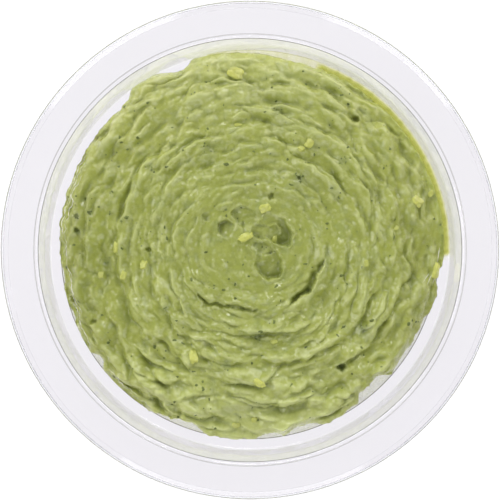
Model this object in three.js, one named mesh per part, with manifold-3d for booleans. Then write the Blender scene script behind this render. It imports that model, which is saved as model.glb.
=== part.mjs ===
// A round, clear deli tub filled with green avocado dip.
//
// Units are millimetres. +Z is up, the origin is the centre of the tub's foot, where it stands,
// +X is to the right and +Y is away from the viewer. The tub is one thin moulding: raised panel, foot ring,
// tapered lower wall, stacking shoulder, tapered upper wall, bevel, flat flange and turned-down lip.
// The dip is one solid that fills the tub to the shoulder and stands over it in a low crown. A filling nozzle
// that turned as it filled has left its top in rings of folds, with five dents where it lifted off.
// Small pieces of the fruit stand out of it.

import * as THREE from "three";
import { mergeVertices } from "three/addons/utils/BufferGeometryUtils.js";
import Module from "manifold-3d";

// ---------------------------------------------------------------- driving dimensions
const TUB_HEIGHT = 40;
const LIP_RADIUS = 59; // outside of the turned-down lip
const SHEET = 0.6; // thickness of the moulded sheet
const SHOULDER_Z = 27; // top of the stacking shoulder
const SHOULDER_INNER = 45.5; // where the lower wall meets the shoulder
const SHOULDER_OUTER = 48; // where the shoulder meets the upper wall
const WAIST_RADIUS = 49.3; // above the waist the upper wall is steeper
const WAIST_Z = 32.5;
const MOUTH_RADIUS = 50.15; // top of the upper wall
const CHAMFER = 0.95; // width and height of the bevel from the upper wall to the flange
const FLANGE_FLAT = 57.3; // the flange is flat out to here
const LIP_SLOPE_WIDTH = 1.3; // then the lip slopes
const LIP_SLOPE_DROP = 1.05;
const LIP_DROP = 3.2; // from the flange down to the lip's edge
const FOOT_RADIUS = 41.8; // where the lower wall would meet the foot
const PANEL_RADIUS = 33.5; // raised panel in the base
const PANEL_RISE = 1.5;
const PANEL_SLOPE = 2; // width of the slope from the panel down to the foot ring
const TUB_SIDES = 60;

const GAP = 0.35; // clear space between the dip and the tub
const CROWN = 3.3; // the dip's middle stands this far above the shoulder
const CROWN_POWER = 4; // how long the crown stays flat before it falls to the edge
const EDGE_ROUND = 2.4; // the dip's edge is rounded over this width
const EDGE_FALL = 1.7; // and falls this far
const SWIRL_CENTRE = new THREE.Vector2(1.1, 0.4); // the rings of folds turn about this point
const DIP_RINGS = 40;
const DIP_SIDES = 80;

const DEG = Math.PI / 180;
const lerp = (a, b, t) => a + (b - a) * t;
const smooth = (lo, hi, x) => THREE.MathUtils.smoothstep(x, lo, hi);
const turn = (angle) => THREE.MathUtils.euclideanModulo(angle, 2 * Math.PI);

// ---------------------------------------------------------------- tub

// Each corner is [radius, height, fillet]. A fillet becomes an arc that touches both straight runs.
function filletPath(corners, steps) {
  const points = [];
  corners.forEach(([x, y, fillet], i) => {
    const corner = new THREE.Vector2(x, y);
    if (!fillet) {
      points.push(corner);
      return;
    }
    const before = new THREE.Vector2(corners[i - 1][0], corners[i - 1][1]).sub(corner).normalize();
    const after = new THREE.Vector2(corners[i + 1][0], corners[i + 1][1]).sub(corner).normalize();
    const half = Math.acos(THREE.MathUtils.clamp(before.dot(after), -1, 1)) / 2;
    const reach = fillet / Math.tan(half);
    const centre = before.clone().add(after).normalize().multiplyScalar(fillet / Math.sin(half)).add(corner);
    const start = corner.clone().addScaledVector(before, reach).sub(centre);
    const end = corner.clone().addScaledVector(after, reach).sub(centre);
    let sweep = end.angle() - start.angle();
    sweep -= 2 * Math.PI * Math.round(sweep / (2 * Math.PI));
    for (let k = 0; k <= steps; k++) {
      const spoke = start.clone().rotateAround(new THREE.Vector2(), (sweep * k) / steps);
      points.push(spoke.add(centre));
    }
  });
  return points;
}

// The path moved sideways to its right by a distance, with mitred corners. The ends move straight.
function offsetPath(points, distance) {
  return points.map((point, i) => {
    const back = point.clone().sub(points[Math.max(i - 1, 0)]).normalize();
    const ahead = points[Math.min(i + 1, points.length - 1)].clone().sub(point).normalize();
    if (i === 0) back.copy(ahead);
    if (i === points.length - 1) ahead.copy(back);
    const rightBack = new THREE.Vector2(back.y, -back.x);
    const rightAhead = new THREE.Vector2(ahead.y, -ahead.x);
    const mitre = rightBack.add(rightAhead).normalize();
    const stretch = 1 / Math.max(mitre.dot(rightAhead), 0.5);
    return point.clone().addScaledVector(mitre, distance * stretch);
  });
}

// The food side of the sheet, from the axis outwards over the lip.
function tubInside(steps) {
  const floor = SHEET;
  return filletPath(
    [
      [0, floor + PANEL_RISE, 0],
      [PANEL_RADIUS, floor + PANEL_RISE, 0],
      [PANEL_RADIUS + PANEL_SLOPE, floor, 0],
      [FOOT_RADIUS, floor, 2],
      [SHOULDER_INNER, SHOULDER_Z, 0.7],
      [SHOULDER_OUTER, SHOULDER_Z, 0.4],
      [WAIST_RADIUS, WAIST_Z, 0],
      [MOUTH_RADIUS, TUB_HEIGHT - CHAMFER, 0],
      [MOUTH_RADIUS + CHAMFER, TUB_HEIGHT, 0],
      [FLANGE_FLAT, TUB_HEIGHT, 0],
      [FLANGE_FLAT + LIP_SLOPE_WIDTH, TUB_HEIGHT - LIP_SLOPE_DROP, 0],
      [LIP_RADIUS, TUB_HEIGHT - LIP_DROP, 0],
    ],
    steps,
  );
}

// A closed profile turned about the Z axis.
function turned(profile, sides) {
  return new THREE.LatheGeometry(profile, sides).rotateX(Math.PI / 2);
}

function tubGeometry() {
  const inside = tubInside(2);
  const outside = offsetPath(inside, SHEET);
  outside[0].x = 0;
  return turned([...outside, ...inside.reverse()], TUB_SIDES);
}

// ---------------------------------------------------------------- folds of the dip

// The same draws every time, from 0 to 1.
function seededDraws(seed) {
  let state = seed;
  return () => {
    state = (state * 1664525 + 1013904223) % 4294967296;
    return state / 4294967296;
  };
}

// Folds that show in the photograph, chosen by eye, from the middle outwards: heading in degrees at the start
// and the end of its crease, anticlockwise from +X, how far the crease is from the swirl's centre at both, and
// how high its lip stands. A minus height has the lip outside the crease.
const MAIN_FOLDS = [
  [-55, -13, 16.3, 15.6, -0.9],
  [-125, -90, 15.5, 14.8, 0.7],
  [-143, -126, 17.6, 16.6, 0.6],
  [-104, -66, 20.6, 21.3, 1.2],
  [-78, -48, 21.9, 23.7, 0.8],
  [163, 197, 19.9, 19.2, 0.6],
  [104, 126, 22.6, 22.8, 0.6],
  [30, 77, 25.0, 24.0, 0.8],
  [128, 152, 26.7, 25.7, 1.0],
  [175, 188, 25.3, 25.2, 0.9],
  [4, 29, 28.2, 26.6, 0.8],
  [108, 156, 28.8, 30.6, 0.9],
  [-87, -53, 28.0, 30.2, 1.2],
  [-116, -90, 28.9, 27.8, 1.2],
  [137, 152, 34.0, 33.9, 1.1],
  [-104, -81, 32.2, 33.1, 0.8],
  [43, 72, 32.7, 32.2, 0.9],
  [-57, -38, 34.6, 36.7, 1.2],
  [-82, -68, 36.4, 35.4, 1.3],
  [68, 87, 35.5, 35.2, 1.0],
  [50, 69, 38.9, 37.6, 1.2],
  [88, 107, 39.7, 39.9, 1.3],
  [-131, -108, 41.5, 36.7, 1.0],
  [-51, -36, 42.2, 42.6, 1.0],
  [-66, -54, 43.2, 42.4, 1.0],
  [-130, -107, 42.8, 43.2, 0.9],
];

// The rest of the rings: arcs of uneven length laid end to end, longer and lower near the middle.
const RING_FIRST = 17;
const RING_LAST = 45;
const RING_PITCH = 2.6;

function ringFolds() {
  const draw = seededDraws(20417);
  const folds = [];
  for (let ring = RING_FIRST; ring <= RING_LAST; ring += RING_PITCH) {
    const out = (ring - RING_FIRST) / (RING_LAST - RING_FIRST);
    let angle = 360 * draw();
    const end = angle + 360;
    while (angle < end) {
      const span = lerp(70, 20, out) * (0.6 + 0.8 * draw());
      const start = ring + 1.6 * (draw() - 0.5);
      const drift = lerp(1, 4, out) * (draw() - 0.5);
      folds.push([angle, angle + span, start, start + drift, lerp(0.35, 0.95, out) * (0.5 + draw())]);
      angle += span * 0.8;
    }
  }
  return folds;
}

const FOLDS = [...MAIN_FOLDS, ...ringFolds()];
const LIP_BANK = 1.9; // the fold rises to its lip over this width
const CREASE_WIDTH = 0.9;
const CREASE_DEPTH = 0.5; // as a share of the lip's height
const CREASE_SOFTNESS = 0.3;

function foldHeight([from, to, near, far, height], radius, angle) {
  const along = turn(angle - from * DEG) / ((to - from) * DEG);
  if (along > 1) return 0;
  const past = (radius - lerp(near, far, along)) * Math.sign(height);
  const lip = Math.exp(Math.min(past, 0) / LIP_BANK);
  const crease = -CREASE_DEPTH * Math.exp(-Math.max(past, 0) / CREASE_WIDTH);
  const beyond = 1 / (1 + Math.exp(-past / CREASE_SOFTNESS));
  return Math.abs(height) * Math.sqrt(Math.sin(Math.PI * along)) * lerp(lip, crease, beyond);
}

// Dents where the nozzle lifted off: centre, heading of the deep end, length, width and depth.
const DENTS = [
  { x: -5.7, y: 5.1, heading: 165, length: 4.6, width: 4.6, depth: 1.3 },
  { x: 7.9, y: 4.1, heading: -75, length: 7.8, width: 5.0, depth: 2.2 },
  { x: 5.8, y: -4.1, heading: -110, length: 6.2, width: 6.2, depth: 1.8 },
  { x: 3.2, y: 4.4, heading: 170, length: 6.0, width: 3.8, depth: 1.1 },
  { x: -2.7, y: 9.1, heading: 150, length: 5.6, width: 3.6, depth: 0.9 },
];

function dentDepth(dent, x, y) {
  const heading = dent.heading * DEG;
  const dx = x - dent.x;
  const dy = y - dent.y;
  const along = (dx * Math.cos(heading) + dy * Math.sin(heading)) / (dent.length / 2);
  const across = (dy * Math.cos(heading) - dx * Math.sin(heading)) / (dent.width / 2);
  const inside = 1 - smooth(0.55, 1.05, Math.hypot(along, across));
  return dent.depth * inside * (0.65 + 0.35 * along);
}

// Pieces of fruit that stand out of the top: centre, heading of the long side, length and width.
const CHUNKS = [
  { x: -3.3, y: 42.2, heading: -20, length: 3.8, width: 2.5 },
  { x: -13.7, y: -25.4, heading: 100, length: 3.4, width: 2.2 },
  { x: 43.6, y: -4.5, heading: 80, length: 3.0, width: 2.2 },
  { x: 40.1, y: 11.7, heading: 120, length: 2.6, width: 2.0 },
  { x: -0.9, y: 3.1, heading: 20, length: 2.9, width: 2.1 },
  { x: 3.6, y: 10.0, heading: -30, length: 2.5, width: 1.9 },
  { x: 2.2, y: -31.9, heading: 0, length: 3.2, width: 2.0 },
  { x: 14.2, y: 25.6, heading: 60, length: 2.2, width: 1.8 },
  { x: 12.2, y: 24.1, heading: 20, length: 1.9, width: 1.6 },
  { x: -32.0, y: 0.6, heading: 90, length: 2.4, width: 2.0 },
  { x: -30.2, y: -6.1, heading: 30, length: 2.1, width: 1.9 },
  { x: -25.5, y: -3.5, heading: 90, length: 2.2, width: 1.8 },
  { x: -2.9, y: 29.9, heading: 15, length: 2.0, width: 1.6 },
  { x: 43.4, y: 13.9, heading: 100, length: 1.8, width: 1.5 },
];
const CHUNK_THICKNESS = 0.75; // as a share of the width
const CHUNK_SUNK = 0.15; // the middle lies this share of the width under the top

// ---------------------------------------------------------------- outline of the dip

// The dip lies over the shoulder and against the upper wall in one sector, and stops at the shoulder's
// inner edge in the other. A notch is a place where it stands back from the wall, all the way down.
const OVER_SHOULDER = 48.9; // past the upper wall, so that the wall cuts it
const COVERED_FROM = -8;
const COVERED_TO = 126;
const COVER_RISE = 1.2; // the dip stands this much higher where it covers the shoulder
const COVER_START = 32; // and begins to rise this far out
// Where the outline changes: heading in degrees and radius there, with straight runs between.
const REACH = [
  [-2, OVER_SHOULDER],
  [126, OVER_SHOULDER],
  [129, 46.3],
  [176, 46.1],
  [184, 45.6],
  [338, 45.6],
  [344, 46.2],
  [355, 46.4],
  [358, OVER_SHOULDER],
];
const NOTCHES = [
  { at: 75, half: 8, depth: 1.2 },
  { at: 112, half: 6, depth: 2.4 },
  { at: 216, half: 4, depth: 1.4 },
  { at: 243, half: 4, depth: 1.0 },
  { at: 250, half: 8, depth: 1.7 },
  { at: 276, half: 5, depth: 1.2 },
  { at: 287, half: 7, depth: 1.4 },
  { at: 312, half: 8, depth: 2.9 },
  { at: 325, half: 9, depth: 0.9 },
  { at: 352, half: 4, depth: 0.9 },
];

// How many degrees an angle lies from a heading, at most 180.
const degreesFrom = (angle, heading) => Math.abs(turn(angle - heading * DEG + Math.PI) - Math.PI) / DEG;

function notchDepth(angle) {
  const depths = NOTCHES.map(
    ({ at, half, depth }) => depth * (1 - smooth(0.2, 1, degreesFrom(angle, at) / half)),
  );
  return Math.max(...depths);
}

// 1 where the dip covers the shoulder, 0 where it doesn't.
function coverage(angle) {
  const middle = (COVERED_FROM + COVERED_TO) / 2;
  const half = (COVERED_TO - COVERED_FROM) / 2;
  return 1 - smooth(half - 5, half + 5, degreesFrom(angle, middle));
}

function edgeRadius(angle) {
  const heading = turn(angle - REACH[0][0] * DEG) / DEG + REACH[0][0];
  const next = Math.max(REACH.findIndex(([at]) => at > heading), 1);
  const [[from, start], [to, end]] = [REACH[next - 1], REACH[next]];
  return lerp(start, end, (heading - from) / (to - from)) - notchDepth(angle);
}

// ---------------------------------------------------------------- top of the dip

function topHeight(x, y) {
  const radius = Math.hypot(x, y);
  const angle = Math.atan2(y, x);
  const edge = edgeRadius(angle);
  const crown = CROWN * (1 - (radius / OVER_SHOULDER) ** CROWN_POWER);
  const rise = COVER_RISE * coverage(angle) * smooth(COVER_START, OVER_SHOULDER, radius);
  const over = THREE.MathUtils.clamp((radius - (edge - EDGE_ROUND)) / EDGE_ROUND, 0, 1);
  const fall = EDGE_FALL * (1 - Math.sqrt(1 - 0.98 * over * over));
  const swirlX = x - SWIRL_CENTRE.x;
  const swirlY = y - SWIRL_CENTRE.y;
  const swirlRadius = Math.hypot(swirlX, swirlY);
  const swirlAngle = Math.atan2(swirlY, swirlX);
  const folds = FOLDS.reduce((sum, fold) => sum + foldHeight(fold, swirlRadius, swirlAngle), 0);
  const dents = Math.max(...DENTS.map((dent) => dentDepth(dent, x, y)));
  return SHOULDER_Z + crown + rise + folds * (1 - 0.7 * over) - fall - dents;
}

// ---------------------------------------------------------------- dip solid

// The outline carried straight down, under the top. Its points stand in rings about the axis, which run from
// the edge of the underside up to the edge of the top, and in over the top.
function dipBlock() {
  const positions = [];
  const faces = [];
  const rings = [];
  const addRing = (share, height) => {
    rings.push(positions.length / 3);
    for (let side = 0; side < DIP_SIDES; side++) {
      const angle = (2 * Math.PI * side) / DIP_SIDES;
      const x = edgeRadius(angle) * share * Math.cos(angle);
      const y = edgeRadius(angle) * share * Math.sin(angle);
      positions.push(x, y, height(x, y));
    }
  };
  addRing(1, () => 0);
  for (let ring = DIP_RINGS; ring >= 1; ring--) addRing(ring / DIP_RINGS, topHeight);
  const bottom = positions.length / 3;
  positions.push(0, 0, 0);
  const middle = positions.length / 3;
  positions.push(0, 0, topHeight(0, 0));
  for (let side = 0; side < DIP_SIDES; side++) {
    const next = (side + 1) % DIP_SIDES;
    faces.push(bottom, rings[0] + next, rings[0] + side);
    for (let k = 0; k + 1 < rings.length; k++) {
      const [lower, upper] = [rings[k], rings[k + 1]];
      faces.push(lower + side, lower + next, upper + next);
      faces.push(lower + side, upper + next, upper + side);
    }
    faces.push(rings.at(-1) + side, rings.at(-1) + next, middle);
  }
  const geometry = new THREE.BufferGeometry();
  geometry.setAttribute("position", new THREE.Float32BufferAttribute(positions, 3));
  geometry.setIndex(faces);
  return geometry;
}

// The space inside the tub, held clear of its wall by the gap.
function cavityGeometry() {
  const walls = offsetPath(tubInside(2), -GAP).filter((point) => point.x < MOUTH_RADIUS);
  walls[0].x = 0;
  const top = walls.at(-1);
  return turned([...walls, new THREE.Vector2(0, top.y)], TUB_SIDES);
}

const wasm = await Module();
wasm.setup();

function solidOf(geometry) {
  const bare = geometry.clone();
  bare.deleteAttribute("normal");
  bare.deleteAttribute("uv");
  const merged = mergeVertices(bare, 1e-4);
  return new wasm.Manifold(
    new wasm.Mesh({
      numProp: 3,
      vertProperties: new Float32Array(merged.attributes.position.array),
      triVerts: new Uint32Array(merged.index.array),
    }),
  );
}

function geometryOf(solid) {
  const { vertProperties, triVerts } = solid.getMesh();
  const geometry = new THREE.BufferGeometry();
  geometry.setAttribute("position", new THREE.BufferAttribute(vertProperties, 3));
  geometry.setIndex(new THREE.BufferAttribute(triVerts, 1));
  geometry.computeVertexNormals();
  return geometry;
}

function chunkGeometry({ x, y, heading, length, width }) {
  return new THREE.IcosahedronGeometry(0.5, 1)
    .scale(length, width, width * CHUNK_THICKNESS)
    .rotateZ(heading * DEG)
    .translate(x, y, topHeight(x, y) - width * CHUNK_SUNK);
}

function dipGeometry() {
  const chunks = CHUNKS.map((chunk) => solidOf(chunkGeometry(chunk)));
  const heap = chunks.reduce((sum, chunk) => sum.add(chunk), solidOf(dipBlock()));
  return geometryOf(heap.intersect(solidOf(cavityGeometry())));
}

// ---------------------------------------------------------------- scene graph

const clearPlastic = new THREE.MeshStandardMaterial({
  color: 0xf2f0f6,
  roughness: 0.08,
  metalness: 0,
  transparent: true,
  opacity: 0.3,
});
const avocadoDip = new THREE.MeshStandardMaterial({ color: 0xa0a85a, roughness: 0.45, metalness: 0 });

function part(name, geometry, material) {
  const mesh = new THREE.Mesh(geometry, material);
  mesh.name = name;
  return mesh;
}

const tubOfDip = new THREE.Group();
tubOfDip.add(part("tub", tubGeometry(), clearPlastic));
tubOfDip.add(part("dip", dipGeometry(), avocadoDip));

export default tubOfDip;
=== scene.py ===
# %% [markdown]
# # A clear tub of avocado dip
# The part is a round film-seal tub, 118 mm wide, full of a coarse avocado dip. A filling nozzle that turned
# as it filled left the dip in rings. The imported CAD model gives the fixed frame: every piece here is
# modelled in metres in its coordinates, so nothing is fitted afterwards. +Z is up, and the origin is the
# middle of the tub's foot.

# %% The frame
import bmesh
import bpy
import numpy as np
from math import cos, pi, radians, sin, tan
from mathutils import Matrix, Vector


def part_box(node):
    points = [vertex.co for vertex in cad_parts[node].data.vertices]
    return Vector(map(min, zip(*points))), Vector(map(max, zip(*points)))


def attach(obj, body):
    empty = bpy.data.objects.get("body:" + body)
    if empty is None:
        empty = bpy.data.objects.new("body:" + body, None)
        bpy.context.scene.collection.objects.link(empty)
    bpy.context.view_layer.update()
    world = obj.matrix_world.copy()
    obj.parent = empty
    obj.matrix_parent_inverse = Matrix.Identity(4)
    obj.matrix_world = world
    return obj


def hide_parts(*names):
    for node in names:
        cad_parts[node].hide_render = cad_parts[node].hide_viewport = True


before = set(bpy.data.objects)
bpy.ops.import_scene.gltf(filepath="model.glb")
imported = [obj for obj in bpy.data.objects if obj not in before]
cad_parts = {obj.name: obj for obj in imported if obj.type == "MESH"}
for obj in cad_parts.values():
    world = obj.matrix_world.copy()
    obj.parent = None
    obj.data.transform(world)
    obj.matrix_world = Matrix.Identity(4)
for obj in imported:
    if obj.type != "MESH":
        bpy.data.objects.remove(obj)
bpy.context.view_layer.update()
MM = 0.001
_, tub_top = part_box("tub")
LIP_RADIUS = tub_top.x / MM
TUB_HEIGHT = tub_top.z / MM
print(f"the tub is {2 * LIP_RADIUS:.1f} mm over its lip and {TUB_HEIGHT:.1f} mm high")

# %% [markdown]
# Colours are picked as they look on a screen, as sRGB hex, but light adds up in linear numbers. One
# function turns the first into the second. Another adds a node to a material with its settings and its
# links, which keeps the material cells short, and a third starts a material with no nodes.

# %% Colour and node helpers
def colour(hex_code):
    """The linear red, green, blue and alpha of an sRGB hex colour."""
    parts = [int(hex_code[i : i + 2], 16) / 255 for i in (0, 2, 4)]
    return (*[c / 12.92 if c <= 0.04045 else ((c + 0.055) / 1.055) ** 2.4 for c in parts], 1.0)


def add(tree, kind, links=None, **settings):
    """Adds a node. A setting is a property of it, or else the value of the input of that name."""
    node = tree.nodes.new(kind)
    for name, value in settings.items():
        if hasattr(node, name):
            setattr(node, name, value)
        else:
            node.inputs[name.replace("_", " ")].default_value = value
    for name, source in (links or {}).items():
        tree.links.new(source, node.inputs[name])
    return node


def new_material(name):
    """A material with an empty node tree, and that tree."""
    material = bpy.data.materials.new(name)
    material.use_nodes = True
    material.node_tree.nodes.clear()
    return material, material.node_tree


# %% [markdown]
# ## The stage
# A tub like this is pictured straight from above on a light table, so it has no shadow. Seven soft boxes
# and two small lamps stand round it. Three low boxes rake over the paste, so each lump gets a bright and a
# dark side, and leave bright arcs on the sloping lip. The boxes at the right and the left fill the sides
# that the low ones miss, and the two high ones lift the crests. The small lamps make sharp glints on the
# wet paste.

# %% Soft boxes
AIM = Vector((0, 0, 0.03))


def soft_box(name, azimuth, elevation, distance, width, height, power):
    """A soft box aimed at the tub from an angle round it and an angle above the table, in degrees."""
    data = bpy.data.lights.new(name, "AREA")
    data.shape = "RECTANGLE"
    data.size, data.size_y, data.energy = width, height, power
    lamp = bpy.data.objects.new(name, data)
    a, e = radians(azimuth), radians(elevation)
    towards = Vector((cos(a) * cos(e), sin(a) * cos(e), sin(e)))
    lamp.location = AIM + distance * towards
    lamp.rotation_euler = towards.to_track_quat("Z", "Y").to_euler()
    bpy.context.scene.collection.objects.link(lamp)


# both angles, then distance, width and height in metres, and power in watts
soft_box("softbox_upper_right", 54, 20, 0.62, 0.40, 0.26, 1.15)
soft_box("softbox_upper_left", 126, 20, 0.62, 0.40, 0.26, 1.2)
soft_box("softbox_lower", 268, 20, 0.62, 0.70, 0.26, 1.2)
soft_box("softbox_right", 2, 34, 0.62, 0.35, 0.22, 0.7)
soft_box("softbox_left", 178, 34, 0.62, 0.35, 0.22, 1.05)
soft_box("softbox_high_above", 92, 52, 0.75, 0.22, 0.12, 0.9)
soft_box("softbox_high_below", 268, 52, 0.75, 0.22, 0.12, 0.35)
soft_box("glint_lamp_above", 62, 64, 0.75, 0.06, 0.06, 0.2)
soft_box("glint_lamp_left", 190, 66, 0.75, 0.06, 0.06, 0.2)
print("seven soft boxes and two small lamps stand round the tub")

# %% [markdown]
# The room gives a weak even light. The table is a sheet of opal acrylic lit from below. Such a sheet
# scatters light, so it glows by itself with hardly any gloss, brightest in its middle. A table lit only
# from above would show the shadow of the dip through the clear rim. Rays that a bent edge of clear plastic
# throws far out meet the dimmer part, and that draws the thin grey lines of the tub.

# %% Room and light table
ROOM_LIGHT = 0.27
world = bpy.data.worlds.new("studio")
world.use_nodes = True
background = world.node_tree.nodes["Background"]
background.inputs["Color"].default_value = colour("FFFFFF")
background.inputs["Strength"].default_value = ROOM_LIGHT
bpy.context.scene.world = world
bpy.context.scene.view_settings.view_transform = "Standard"

TABLE_SIZE = 6
MIDDLE_GLOW, FAR_GLOW = 1.02, 0.52
FADE_START, FADE_END = 0.12, 0.60
bpy.ops.mesh.primitive_plane_add(size=TABLE_SIZE)
table = bpy.context.object
table.name = "light_table"
opal, tree = new_material("opal_acrylic_lit_from_below")
where = add(tree, "ShaderNodeTexCoord")
away = add(tree, "ShaderNodeVectorMath", {0: where.outputs["Object"]}, operation="LENGTH")
glow = add(tree, "ShaderNodeMapRange", {"Value": away.outputs["Value"]}, interpolation_type="SMOOTHSTEP",
           From_Min=FADE_START, From_Max=FADE_END, To_Min=MIDDLE_GLOW, To_Max=FAR_GLOW)
sheet = add(tree, "ShaderNodeBsdfPrincipled", {"Emission Strength": glow.outputs[0]}, Roughness=0.8,
            Base_Color=colour("5A5A5A"), Specular_IOR_Level=0.2, Emission_Color=colour("FFFFFF"))
add(tree, "ShaderNodeOutputMaterial", {"Surface": sheet.outputs[0]})
table.data.materials.append(opal)
print(f"the table glows {MIDDLE_GLOW} in its middle and {FAR_GLOW} far out, the room {ROOM_LIGHT}")

# %% [markdown]
# The camera looks straight down from 70 cm above the rim through a long lens, as for a pack shot, so the
# foot looks hardly smaller for being further away.

# %% Camera
SENSOR_WIDTH = 36
CAMERA_ABOVE_RIM = 0.700
VIEW_WIDTH = 0.1183
camera = bpy.data.objects.new("camera", bpy.data.cameras.new("camera"))
bpy.context.scene.collection.objects.link(camera)
camera.data.sensor_width = SENSOR_WIDTH
camera.data.lens = SENSOR_WIDTH * CAMERA_ABOVE_RIM / VIEW_WIDTH
camera.location = (0, 0, tub_top.z + CAMERA_ABOVE_RIM)
bpy.context.scene.camera = camera
print(f"lens {camera.data.lens:.0f} mm")

# %% [markdown]
# ## The tub
# The real tub is one warm sheet of clear plastic pulled by vacuum into a mould. So it has small round
# corners, and it keeps the sheet's thickness on the flange and the lip but is thinner where the wall was
# drawn down. Blender's Screw and Solidify modifiers could turn and thicken a line. But the thickness
# changes along this one, so here a line of named corners is rounded, doubled by the thickness at each
# point, and turned round the axis.

# %% The line of the sheet
# thickness on the flange and the lip, low in the wall, and what the wall comes to at the mouth
SHEET, DRAWN_SHEET, NECK_SHEET = 0.22, 0.12, 0.16
FOOT_RADIUS, PANEL_RADIUS, PANEL_RISE, PANEL_SLOPE = 41.8, 33.5, 1.5, 2
SHOULDER_Z, SHOULDER_INNER, SHOULDER_OUTER = 27, 45.5, 48
WAIST_RADIUS, WAIST_Z = 48.95, 34.0
MOUTH_RADIUS, CHAMFER = 50.15, 0.95
FULL_FROM = MOUTH_RADIUS + CHAMFER - 0.11
FLANGE_FLAT, LIP_SLOPE_WIDTH, LIP_SLOPE_DROP, LIP_DROP = 57.3, 1.3, 1.05, 3.2
CUT_INSET, CUT_RISE, CUT_FLARE = 0.25, 0.3, 0.5
# radius, height and corner rounding, from the middle of the floor to the edge of the lip
SHEET_CORNERS = [
    (0, SHEET + PANEL_RISE, 0),
    (PANEL_RADIUS, SHEET + PANEL_RISE, 1.2),
    (PANEL_RADIUS + PANEL_SLOPE, SHEET, 1.2),
    (FOOT_RADIUS, SHEET, 2),
    (SHOULDER_INNER, SHOULDER_Z, 0.20),
    (SHOULDER_OUTER, SHOULDER_Z, 0.4),
    (WAIST_RADIUS, WAIST_Z, 30),
    (MOUTH_RADIUS, TUB_HEIGHT - CHAMFER, 0.25),
    (MOUTH_RADIUS + CHAMFER, TUB_HEIGHT, 0.30),
    (FLANGE_FLAT, TUB_HEIGHT, 0.25),
    (FLANGE_FLAT + LIP_SLOPE_WIDTH, TUB_HEIGHT - LIP_SLOPE_DROP, 0.30),
    (LIP_RADIUS - CUT_INSET, TUB_HEIGHT - LIP_DROP + CUT_RISE, 0.1),
    (LIP_RADIUS - CUT_INSET + CUT_FLARE, TUB_HEIGHT - LIP_DROP, 0),
]


def rounded(corners, steps):
    """The corners as a line of points, with an arc of the given rounding at each.

    A point just before and just after each arc keeps the flats between them flat when the faces are shaded
    smooth. Without it, the clear wall would bend light all along its height."""
    hold = 0.06
    path = []
    for i, (r, z, rounding) in enumerate(corners):
        corner = Vector((r, z))
        if not rounding:
            path.append(corner)
            continue
        before = (Vector(corners[i - 1][:2]) - corner).normalized()
        after = (Vector(corners[i + 1][:2]) - corner).normalized()
        half = before.angle(after) / 2
        centre = corner + (before + after).normalized() * rounding / sin(half)
        start, end = corner + before * rounding / tan(half), corner + after * rounding / tan(half)
        first, last = (start - centre).normalized(), (end - centre).normalized()
        path.append(start + before * hold)
        path += [centre + rounding * first.slerp(last, k / steps) for k in range(steps + 1)]
        path.append(end + after * hold)
    return path


def thickness_at(point):
    """The sheet thins where it was drawn down, and keeps its full thickness on the flange and the lip."""
    drawn = DRAWN_SHEET + (NECK_SHEET - DRAWN_SHEET) * max(point.y / TUB_HEIGHT, 0) ** 3
    return SHEET if point.x > FULL_FROM else drawn


def beside(path):
    """The line moved to its right by the thickness of the sheet."""
    moved = []
    for i, point in enumerate(path):
        back = (point - path[i - 1]).normalized() if i else None
        ahead = (path[i + 1] - point).normalized() if i < len(path) - 1 else back
        back = back or ahead
        right, right_ahead = Vector((back.y, -back.x)), Vector((ahead.y, -ahead.x))
        mitre = (right + right_ahead).normalized()
        moved.append(point + mitre * thickness_at(point) / max(mitre.dot(right_ahead), 0.5))
    return moved


inner_line = rounded(SHEET_CORNERS, steps=6)
outer_line = beside(inner_line)
outer_line[0].x = 0
print(f"{len(inner_line)} points along the sheet")

# %% [markdown]
# Every piece is made the same way: points and faces, smooth shading, a material, and a ride on the part's
# body. One function does that, and counts the triangles.

# %% A piece from points and faces
def mesh_piece(name, vertices, faces, material):
    """A smooth-shaded mesh of points in metres, riding on the part."""
    mesh = bpy.data.meshes.new(name)
    mesh.from_pydata([tuple(v) for v in vertices], [], faces)
    mesh.validate()
    mesh.shade_smooth()
    mesh.materials.append(material)
    piece = bpy.data.objects.new(name, mesh)
    bpy.context.scene.collection.objects.link(piece)
    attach(piece, "root")
    print(f"{name}: {sum(len(p.vertices) - 2 for p in mesh.polygons)} triangles")
    return piece


# %% [markdown]
# Turning the line makes a clean ring of quads at every height. The middle of the floor is a single vertex,
# so no faces pile up there.

# %% A line turned round the axis
def turned(profile, sides):
    """A closed profile turned round the Z axis: its vertices and faces."""
    vertices, rings, faces = [], [], []
    for r, z in profile:
        count = sides if r > 1e-6 else 1
        rings.append([len(vertices) + k % count for k in range(sides)])
        for k in range(count):
            vertices.append((r * MM * cos(2 * pi * k / sides), r * MM * sin(2 * pi * k / sides), z * MM))
    for lower, upper in zip(rings, rings[1:]):
        for k in range(sides):
            n = (k + 1) % sides
            face = list(dict.fromkeys([lower[k], lower[n], upper[n], upper[k]]))
            if len(face) > 2:
                faces.append(face)
    return vertices, faces


# %% [markdown]
# ## Clear PET
# PET is clear and glossy. The sheet was drawn against a polished mould, so it is nearly a mirror, with a
# few faint scuffs from stacking. PET bends light more than window glass, index 1.57, and a thick look comes
# only from its edges, where light travels along inside the sheet. Shadow rays pass straight through, as
# most light does through a thin sheet, so that the paste behind it is lit.

# %% Clear PET
SCUFF_LENGTH_MM = 2.5


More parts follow.
